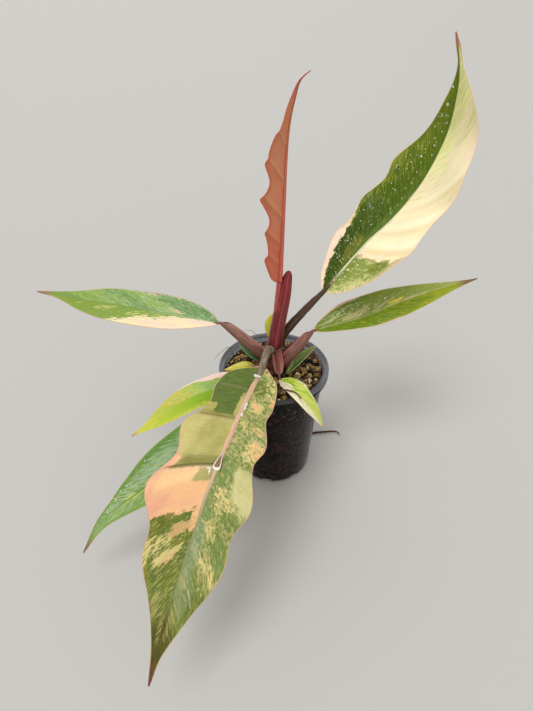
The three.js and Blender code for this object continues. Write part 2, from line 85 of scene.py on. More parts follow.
def coloursOf(codes):
    return [linearOf(code) for code in codes]


def addCamera():
    deselectAll()
    tilt = math.radians(90 - view["downTilt"])
    bpy.ops.object.camera_add(location=[c * mm for c in view["place"]], rotation=(tilt, 0, 0))
    camera = bpy.context.object
    camera.data.sensor_width = view["sensor"]
    camera.data.lens = view["sensor"] * view["focalPixels"] / view["pictureHeight"]
    camera.data.clip_start = view["nearClip"]
    bpy.context.scene.camera = camera


def addLamps():
    for lamp in studio["lamps"]:
        deselectAll()
        towards = Vector(lamp["towards"])
        turn = towards.to_track_quat("-Z", "Y").to_euler()
        bpy.ops.object.light_add(type="SUN", location=-towards, rotation=turn)
        light = bpy.context.object
        light.name = lamp["name"]
        light.data.angle = math.radians(lamp["spread"])
        light.data.energy = lamp["power"]
    world = bpy.data.worlds.new("softRoom")
    world.use_nodes = True
    background = world.node_tree.nodes["Background"]
    background.inputs["Color"].default_value = linearOf(studio["worldColour"])
    background.inputs["Strength"].default_value = studio["worldStrength"]
    bpy.context.scene.world = world
    bpy.context.scene.view_settings.view_transform = studio["viewTransform"]


addCamera()
addLamps()
print("camera and lights are in place")

# Node helpers for the materials


def addNode(tree, kind, inputs=None, **settings):
    node = tree.nodes.new("ShaderNode" + kind)
    for key, value in settings.items():
        setattr(node, key, value)
    for key, value in (inputs or {}).items():
        if isinstance(value, bpy.types.NodeSocket):
            tree.links.new(value, node.inputs[key])
        else:
            node.inputs[key].default_value = value
    return node


def doMath(tree, operation, a, b=0.0):
    return addNode(tree, "Math", {0: a, 1: b}, operation=operation).outputs[0]


def times(tree, *values):
    product = values[0]
    for value in values[1:]:
        product = doMath(tree, "MULTIPLY", product, value)
    return product


def minus(tree, a, b):
    return doMath(tree, "SUBTRACT", a, b)


def mixColours(tree, share, a, b):
    return addNode(tree, "Mix", {0: share, 6: a, 7: b}, data_type="RGBA").outputs[2]


def noiseAt(tree, where, scale, detail=3.0, roughness=0.55, stretch=None):
    # stretch multiplies the place along each axis, so a small value draws the pattern out
    if stretch:
        where = addNode(tree, "VectorMath", {0: where, 1: stretch}, operation="MULTIPLY").outputs[0]
    inputs = {"Vector": where, "Scale": scale, "Detail": detail, "Roughness": roughness}
    return addNode(tree, "TexNoise", inputs).outputs[0]


def stepBetween(tree, value, low, high):
    # 0 below low and 1 above high, or the other way round where high is the smaller one
    inputs = {"Value": value, "From Min": low, "From Max": high}
    return addNode(tree, "MapRange", inputs, interpolation_type="SMOOTHSTEP").outputs[0]


def patternAt(tree, where, pattern):
    # the pattern's noise, and the share of it that its range leaves
    noise = noiseAt(tree, where, **{key: value for key, value in pattern.items() if key != "range"})
    return noise, stepBetween(tree, noise, *pattern["range"])


def readAttribute(tree, name, output="Vector"):
    return addNode(tree, "Attribute", attribute_name=name).outputs[output]


def splitVector(tree, vector):
    return addNode(tree, "SeparateXYZ", {0: vector}).outputs[:]


def objectPlace(tree):
    return addNode(tree, "TexCoord").outputs["Object"]


def newMaterial(name, settings):
    material = bpy.data.materials.new(name)
    material.use_nodes = True
    shader = material.node_tree.nodes["Principled BSDF"]
    for socket, value in settings.items():
        shader.inputs[socket].default_value = value
    return material, material.node_tree


def finishMaterial(material, colour, height, bump, roughness=None):
    # height makes the bumps, and bump is their strength and how deep they are in millimetres
    tree = material.node_tree
    strength, depth = bump
    shader = tree.nodes["Principled BSDF"]
    tree.links.new(colour, shader.inputs["Base Color"])
    if roughness is not None:
        tree.links.new(roughness, shader.inputs["Roughness"])
    bumps = addNode(tree, "Bump", {"Height": height, "Strength": strength, "Distance": depth * mm})
    tree.links.new(bumps.outputs[0], shader.inputs["Normal"])
    return material


def plainFloor():
    deselectAll()
    bpy.ops.mesh.primitive_plane_add(size=studio["floorSize"])
    floor = bpy.context.object
    floor.name = "studioFloor"
    settings = {"Base Color": linearOf(studio["floorColour"]), "Roughness": 0.6}
    floor.data.materials.append(newMaterial("paleFloor", settings)[0])


plainFloor()

# Shape helpers. A line is a smooth row of points and the length up to each of them, t is a share of its
# length, and profiles and spreads are smooth curves through the values given.

tangentStep = 0.002  # share of a line's length over which its direction is taken
seamWidth = 0.002    # points nearer to each other than this are sewn together, in millimetres
thinnestTube = 0.05
grooveWidth = 0.45   # of a stalk's upper side, in radians


def lineThrough(points, steps=2400):
    p = np.array(points, float)
    p = np.vstack([2 * p[0] - p[1], p, 2 * p[-1] - p[-2]])
    spans = len(points) - 1
    u = np.linspace(0, spans, steps)
    k = np.minimum(u.astype(int), spans - 1)
    w = (u - k)[:, None]
    before, a, b, after = p[k], p[k + 1], p[k + 2], p[k + 3]
    slopeA, slopeB = (b - before) / 2, (after - a) / 2
    line = a * (2 * w ** 3 - 3 * w ** 2 + 1) + slopeA * (w ** 3 - 2 * w ** 2 + w)
    line += b * (3 * w ** 2 - 2 * w ** 3) + slopeB * (w ** 3 - w ** 2)
    reach = np.r_[0, np.cumsum(np.linalg.norm(np.diff(line, axis=0), axis=1))]
    return line, reach


def pointAt(line, t):
    points, reach = line
    d = np.clip(t, 0, 1) * reach[-1]
    return np.stack([np.interp(d, reach, points[:, axis]) for axis in range(3)], -1)


def unit(v):
    return v / np.linalg.norm(v, axis=-1, keepdims=True)


def tangentAt(line, t):
    before, after = np.clip(t - tangentStep, 0, 1), np.clip(t + tangentStep, 0, 1)
    return unit(pointAt(line, after) - pointAt(line, before))


def profileAt(points, t):
    # points are (share, value)
    p = np.array(points, float)
    n = len(p)
    k = np.clip(np.searchsorted(p[:, 0], t) - 1, 0, n - 2)
    a, b = p[k], p[k + 1]
    before, after = p[np.maximum(k - 1, 0)], p[np.minimum(k + 2, n - 1)]
    span = b[..., 0] - a[..., 0]
    u = (t - a[..., 0]) / span
    slopeA = (b[..., 1] - before[..., 1]) / (b[..., 0] - before[..., 0]) * span
    slopeB = (after[..., 1] - a[..., 1]) / (after[..., 0] - a[..., 0]) * span
    rise = 3 * u ** 2 - 2 * u ** 3
    bend = slopeA * (u ** 3 - 2 * u ** 2 + u) + slopeB * (u ** 3 - u ** 2)
    return a[..., 1] * (1 - rise) + b[..., 1] * rise + bend


def spreadAt(values, t):
    # values stand at equal steps
    return profileAt([(k / (len(values) - 1), value) for k, value in enumerate(values)], t)


def addGrid(name, columns, rows):
    # a flat grid, and each of its points' place across it (-1 to 1) and along it (0 to 1)
    deselectAll()
    bpy.ops.mesh.primitive_grid_add(x_subdivisions=columns, y_subdivisions=rows, size=2)
    piece = bpy.context.object
    piece.name = name
    piece.data.name = name
    points = np.zeros(len(piece.data.vertices) * 3)
    piece.data.vertices.foreach_get("co", points)
    x, y, _ = points.reshape(-1, 3).T
    return piece, x, (y + 1) / 2


def movePoints(piece, points):
    # points in millimetres
    piece.data.vertices.foreach_set("co", (np.asarray(points) * mm).ravel())
    piece.data.update()


def storeAttribute(piece, name, values):
    values = np.asarray(values, float)
    kind = "FLOAT_VECTOR" if values.ndim == 2 else "FLOAT"
    attribute = piece.data.attributes.new(name, kind, "POINT")
    attribute.data.foreach_set("vector" if values.ndim == 2 else "value", values.ravel())


def applyModifiers(piece):
    makeActive(piece)
    for modifier in list(piece.modifiers):
        bpy.ops.object.modifier_apply(modifier=modifier.name)


def closeTube(piece):
    # sews the seam of a rolled grid, closes its two ends and turns its faces outwards
    makeActive(piece)
    bpy.ops.object.mode_set(mode="EDIT")
    bpy.ops.mesh.select_all(action="SELECT")
    bpy.ops.mesh.remove_doubles(threshold=seamWidth * mm)
    bpy.ops.mesh.select_all(action="DESELECT")
    bpy.ops.mesh.select_non_manifold()
    bpy.ops.mesh.edge_face_add()
    bpy.ops.mesh.select_all(action="SELECT")
    bpy.ops.mesh.normals_make_consistent(inside=False)
    bpy.ops.object.mode_set(mode="OBJECT")


def shadeSmooth(piece, angle=None):
    makeActive(piece)
    if angle is None:
        bpy.ops.object.shade_smooth()
    else:
        bpy.ops.object.shade_smooth_by_angle(angle=math.radians(angle))


def finishSheet(piece, thickness, underSlot=0):
    # gives a sheet its thickness on both sides and rounds it; underSlot is its underside's material
    thicken = piece.modifiers.new("thickness", "SOLIDIFY")
    thicken.thickness = thickness * mm
    thicken.offset = 0
    thicken.material_offset = underSlot
    smooth = piece.modifiers.new("smooth", "SUBSURF")
    smooth.levels = 1
    smooth.render_levels = 1
    applyModifiers(piece)
    shadeSmooth(piece)


def copyOf(model, place):
    piece = model.copy()
    piece.data = model.data.copy()
    piece.data.transform(place)
    bpy.context.scene.collection.objects.link(piece)
    return piece


def joinPieces(pieces, name):
    makeActive(pieces[0])
    for piece in pieces:
        piece.select_set(True)
    bpy.ops.object.join()
    pieces[0].name = name
    pieces[0].data.name = name
    return pieces[0]


def finishPiece(piece, nodes=()):
    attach(piece, "root")
    if nodes:
        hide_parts(*nodes)


def frameAlong(line, up, t):
    # the centre, the sideways direction and the upward direction at each t
    tangent = tangentAt(line, t)
    up = np.array(up, float)
    upward = unit(up - (tangent @ up)[:, None] * tangent)
    return pointAt(line, t), np.cross(upward, tangent), upward


def addTube(name, path, radii, up, sides=16, rows=40, flatten=1.0, groove=0.0, wander=0.0, seed=1):
    # a closed tube along a path: flatten squeezes it along up, groove hollows its upper side,
    # and wander is how much its thickness varies
    piece, x, y = addGrid(name, sides, rows)
    line = lineThrough(path)
    centre, side, upward = frameAlong(line, up, y)
    angle = math.pi * (0.5 + x)
    radius = np.maximum(spreadAt(radii, y), thinnestTube)
    if wander:
        rng = np.random.default_rng(seed)
        for k, phase in enumerate(rng.uniform(0, 2 * math.pi, 3)):
            radius *= 1 + wander * np.sin(2 * math.pi * y * (3 + 4 * k) + phase + x * math.pi * (k % 2))
    grooved = radius * (1 - groove * np.exp(-((angle - math.pi / 2) / grooveWidth) ** 2))
    points = centre + side * (grooved * np.cos(angle))[:, None]
    points += upward * (grooved * np.sin(angle) * flatten)[:, None]
    movePoints(piece, points)
    storeAttribute(piece, "skin", np.stack([x * math.pi * radius, y * line[1][-1], y], -1))
    closeTube(piece)
    shadeSmooth(piece)
    return piece


# Leaf blades, in millimetres. path is the midrib from base to tip, face the upper side's direction at
# stops along it, right and left the half widths at shares of its length, seen on the upper side with the
# tip up, and rib the midrib's radii. fold is how far each half rises, in degrees, curl how far it bends
# back down, and hem how far its margin turns down. veins gives the slope of the side veins against the
# midrib at base and tip, how late it changes, and their spacing.
# A crease is a soft fold that follows a vein: (share, side, depth, width, shading), where shading is how
# strongly a painted shade line and a painted highlight band are drawn along it.

plainLeaf = {"fold": 12, "curl": 0.1, "waves": 1, "waveHeight": 0, "backLobe": 0, "hem": 0, "creases": []}

leafShapes = {
    "front": {
        "path": [(-11, -56, 166), (-27, -99, 160), (-45, -145, 142), (-60, -183, 114), (-74, -212, 85),
                 (-83, -239, 56)],
        "face": [(0, -0.35, 1), (0, -1, 0.8)],
        "right": [(0, 3), (0.05, 21), (0.12, 27), (0.19, 25), (0.29, 35), (0.37, 31), (0.48, 41),
                  (0.58, 31), (0.67, 28), (0.77, 15), (0.88, 5), (1, 0.5)],
        "left": [(0, 3), (0.05, 17), (0.14, 22), (0.19, 21), (0.27, 28), (0.33, 24), (0.46, 33), (0.55, 26),
                 (0.64, 27), (0.8, 15), (0.92, 4), (1, 0.5)],
        "curl": 0.12, "waves": 4.5, "waveHeight": 3.5, "backLobe": 5, "rows": 110, "columns": 30,
        "veins": (0.2, 3.2, 3, 3.2), "rib": [2.6, 2.5, 2.2, 1.5, 1.0, 0.6, 0.35],
        "creases": [(0.075, 1, 1.2, 2.2, 0.3), (0.203, 1, 1.3, 2.2, 0.45), (0.358, 1, 2.2, 2.0, 0.9),
                    (0.25, -1, 0.9, 2.5, 0), (0.46, 1, 0.8, 4, 0), (0.36, -1, 1.2, 3, 0),
                    (0.62, 1, 0.9, 4, 0), (0.58, -1, 1.0, 3, 0)],
    },
    "upper_right": {
        "path": [(44, 15, 197), (74, 30, 229), (97, 40, 249), (116, 45, 276), (127, 42, 313),
                 (126, 34, 345), (120, 24, 366), (110, 12, 385)],
        "face": [(-0.35, -0.7, 0.75), (-0.75, -0.8, 0.3)],
        "right": [(0, 3), (0.04, 16), (0.12, 29), (0.28, 36), (0.4, 32), (0.5, 34), (0.6, 31), (0.72, 24),
                  (0.81, 16), (0.89, 3), (0.95, 2.2), (1, 0.5)],
        "left": [(0, 3), (0.04, 13), (0.16, 26), (0.23, 24.5), (0.32, 32), (0.43, 28), (0.51, 29),
                 (0.62, 19), (0.76, 8), (0.88, 2), (0.95, 1.4), (1, 0.5)],
        "fold": 18, "waves": 4, "waveHeight": 2.5, "backLobe": 4, "rows": 110, "columns": 28,
        "veins": (0.2, 3.6, 1.5, 3.0), "rib": [2.0, 1.4, 1.0, 0.8, 0.65, 0.5, 0.3],
        "creases": [(0.17, 1, 1.8, 2.6, 0.08), (0.31, 1, 2.4, 3, 0.1), (0.22, -1, 1.0, 3, 0),
                    (0.42, -1, 1.0, 3, 0)],
    },
    "right": {
        "path": [(35, -1, 165), (83, 14, 170), (132, 24, 186), (174, 26, 200)],
        "face": [(-0.1, -0.6, 1), (-0.1, -0.6, 1)],
        "right": [(0, 2), (0.08, 6), (0.28, 11), (0.5, 14), (0.68, 12), (0.84, 6), (0.94, 2), (1, 0.5)],
        "left": [(0, 2), (0.04, 7), (0.12, 14), (0.24, 19), (0.44, 18.5), (0.6, 13.5), (0.8, 6),
                 (0.94, 1.5), (1, 0.5)],
        "fold": 15, "waves": 2, "waveHeight": 0.8, "backLobe": 1, "rows": 72, "columns": 20,
        "veins": (2.2, 4.0, 3, 2.4), "rib": [1.0, 0.9, 0.8, 0.6, 0.4, 0.25],
    },
    "left": {
        "path": [(-49, 1, 171), (-87, 10, 173), (-143, 14, 182), (-196, 4, 201)],
        "face": [(0.1, -0.6, 1), (0.1, -0.6, 1)],
        "right": [(0, 2), (0.04, 8), (0.16, 15), (0.3, 18), (0.48, 17), (0.64, 14), (0.8, 7), (0.92, 3),
                  (1, 0.5)],
        "left": [(0, 2), (0.08, 7), (0.24, 14), (0.44, 17), (0.64, 16), (0.78, 11), (0.9, 3), (1, 0.5)],
        "waves": 2, "waveHeight": 0.8, "backLobe": 1, "rows": 72, "columns": 20,
        "veins": (2.2, 4.0, 3, 2.4), "rib": [1.0, 0.9, 0.8, 0.6, 0.4, 0.25],
    },
    "lower_left": {
        "path": [(-26, -43, 150), (-47, -60, 152), (-67, -67, 148), (-90, -76, 136), (-115, -80, 118)],
        "face": [(0, -0.3, 1), (-0.4, -0.5, 1)],
        "right": [(0, 2), (0.06, 8), (0.2, 12.5), (0.5, 11.5), (0.7, 8), (0.86, 3), (1, 0.5)],
        "left": [(0, 2), (0.1, 8), (0.35, 12.5), (0.5, 13), (0.68, 9), (0.86, 4), (1, 0.5)],
        "waves": 2, "waveHeight": 0.6, "backLobe": 1, "rows": 56, "columns": 18,
        "veins": (2.0, 3.5, 3, 2.2), "rib": [0.9, 0.8, 0.7, 0.5, 0.3],
    },
    "hanging_left": {
        "path": [(-20, -49, 140), (-46, -86, 138), (-74, -105, 122), (-101, -115, 98), (-139, -120, 62),
                 (-160, -130, 29)],
        "face": [(0, -0.3, 1), (-0.6, -0.8, 0.8)],
        "right": [(0, 2), (0.08, 10), (0.2, 17), (0.36, 20), (0.5, 20), (0.64, 15), (0.76, 7), (0.87, 3),
                  (1, 0.5)],
        "left": [(0, 2), (0.08, 9), (0.3, 16), (0.5, 15), (0.64, 11), (0.8, 7), (0.92, 3), (1, 0.5)],
        "waves": 2.5, "waveHeight": 0.8, "backLobe": 1, "rows": 80, "columns": 20,
        "veins": (2.0, 4.0, 3, 2.6), "rib": [1.1, 1.0, 0.8, 0.6, 0.4, 0.25],
    },
    "new": {
        "path": [(3.6, 0, 212.9), (5.4, 3, 269), (6.9, 7, 311.8), (8.8, 8, 333.3), (12, 8, 348.3),
                 (15, 6, 359), (21, 3, 365.3)],
        "face": [(-1, -0.1, 0), (-1, -0.1, 0), (-1, -0.15, 0.1), (-0.9, -0.4, 0.3)],
        "right": [(0, 3), (0.03, 8.5), (0.07, 11.5), (0.12, 14.8), (0.15, 16.4), (0.175, 14), (0.215, 13.2),
                  (0.26, 14.6), (0.29, 16.8), (0.302, 17), (0.318, 14), (0.345, 13.4), (0.38, 15.2),
                  (0.42, 18.4), (0.455, 21.4), (0.466, 20.6), (0.482, 16), (0.52, 14.4), (0.56, 16.4),
                  (0.6, 18.8), (0.62, 18.2), (0.66, 15.4), (0.72, 12.6), (0.77, 7.8), (0.82, 6.2),
                  (0.88, 4.8), (0.94, 2.4), (1, 0.2)],
        "left": [(0, 2), (0.06, 6.5), (0.2, 8.4), (0.35, 9), (0.5, 9.2), (0.62, 9), (0.7, 7), (0.8, 2.6),
                 (0.88, 1.0), (0.95, 0.6), (1, 0.4)],
        "fold": 62, "curl": 0, "waves": 5, "waveHeight": 0.6, "backLobe": 0, "hem": 1.3, "rows": 150,
        "columns": 30, "veins": (1.0, 1.6, 3, 3.0), "rib": [2.9, 2.6, 2.2, 1.8, 1.4, 0.9, 0.3],
        "creases": [(0.085, 1, 1.3, 1.6, 0.5), (0.195, 1, 1.8, 1.7, 0.55), (0.33, 1, 2.2, 1.9, 0.55),
                    (0.5, 1, 2.2, 1.9, 0.55), (0.655, 1, 1.2, 1.8, 0.5), (0.1, -1, 1.0, 2.0, 0),
                    (0.25, -1, 1.3, 2.0, 0), (0.42, -1, 1.3, 2.0, 0)],
    },
    "small_back": {
        "path": [(0.8, 9, 143), (1, 14, 155), (1.2, 20.5, 168.5)],
        "face": [(0, -0.8, 0.6), (0, -0.8, 0.4)],
        "right": [(0, 1.2), (0.2, 6), (0.5, 9.5), (0.75, 8.5), (0.9, 5), (1, 0.5)],
        "left": [(0, 1.2), (0.2, 6), (0.5, 9.5), (0.75, 8.5), (0.9, 5), (1, 0.5)],
        "fold": 10, "rows": 28, "columns": 14, "veins": (1.5, 2.5, 3, 2.0), "rib": [0.7, 0.5, 0.25],
    },
    "small_left": {
        "path": [(-12, -6, 135), (-21, -2, 142), (-31.5, 8, 143)],
        "face": [(0.3, -0.5, 1), (0.3, -0.5, 1)],
        "right": [(0, 1.2), (0.3, 4), (0.6, 3.6), (1, 0.5)],
        "left": [(0, 1.2), (0.3, 5.5), (0.6, 5), (1, 0.5)],
        "fold": 20, "curl": 0, "rows": 24, "columns": 12, "veins": (2.0, 3.0, 3, 1.6),
        "rib": [0.6, 0.45, 0.25],
    },
    "small_front_left": {
        "path": [(-13, -14, 131), (-25, -20, 141), (-43, -21, 137)],
        "face": [(0, -0.4, 1), (0, -0.4, 1)],
        "right": [(0, 1.2), (0.35, 4.2), (0.7, 3.2), (1, 0.5)],
        "left": [(0, 1.2), (0.35, 4.2), (0.7, 3.2), (1, 0.5)],
        "fold": 15, "rows": 28, "columns": 12, "veins": (2.0, 3.0, 3, 1.6), "rib": [0.6, 0.45, 0.25],
    },
    "small_right": {
        "path": [(11, -16.5, 129), (24, -8, 138), (38, 7, 141.5)],
        "face": [(-0.2, -0.5, 1), (-0.2, -0.3, 1)],
        "right": [(0, 1.2), (0.25, 3.0), (0.6, 2.8), (0.85, 1.8), (1, 0.5)],
        "left": [(0, 1.2), (0.25, 4.5), (0.6, 4.8), (0.85, 2.5), (1, 0.5)],
        "fold": 28, "curl": 0, "rows": 32, "columns": 12, "veins": (2.0, 3.0, 3, 1.6),
        "rib": [0.6, 0.45, 0.25],
    },
    "small_front": {
        "path": [(5, -37, 140), (17, -56, 143), (29, -62, 131), (40, -64, 112)],
        "face": [(0.2, -0.3, 1), (0.5, -0.5, 0.8)],
        "right": [(0, 1.5), (0.15, 5.5), (0.4, 5.8), (0.6, 5.6), (0.75, 3.8), (0.9, 1.6), (1, 0.5)],
        "left": [(0, 1.5), (0.06, 9), (0.25, 12), (0.5, 10.5), (0.7, 8), (0.87, 4), (1, 0.5)],
        "waveHeight": 0.4, "backLobe": 1, "rows": 48, "columns": 18, "veins": (1.8, 3.0, 3, 2.2),
        "rib": [0.7, 0.6, 0.4, 0.25],
    },
}

# The markings of each blade: greens of its right and left half at the base and at the tip, how strong
# the fine streaks are, the margin's colour and width, the tip's colour and start, the underside, the
# midrib at base and tip with where it changes (ribFade) and its first stretch (ribStart), and layers of
# paint in the order that they lie on one another. In a layer, edge is (how far it strays, its finest
# size, its pull along the veins, how wide it fades), share how much of the paint covers what lies below,
# and calm how much of the streaks it hides. A mark is a rounded patch: (share along, share across, half
# length, half width, and the level that it stops at), where a low level only lets through the specks
# that the noise raises.

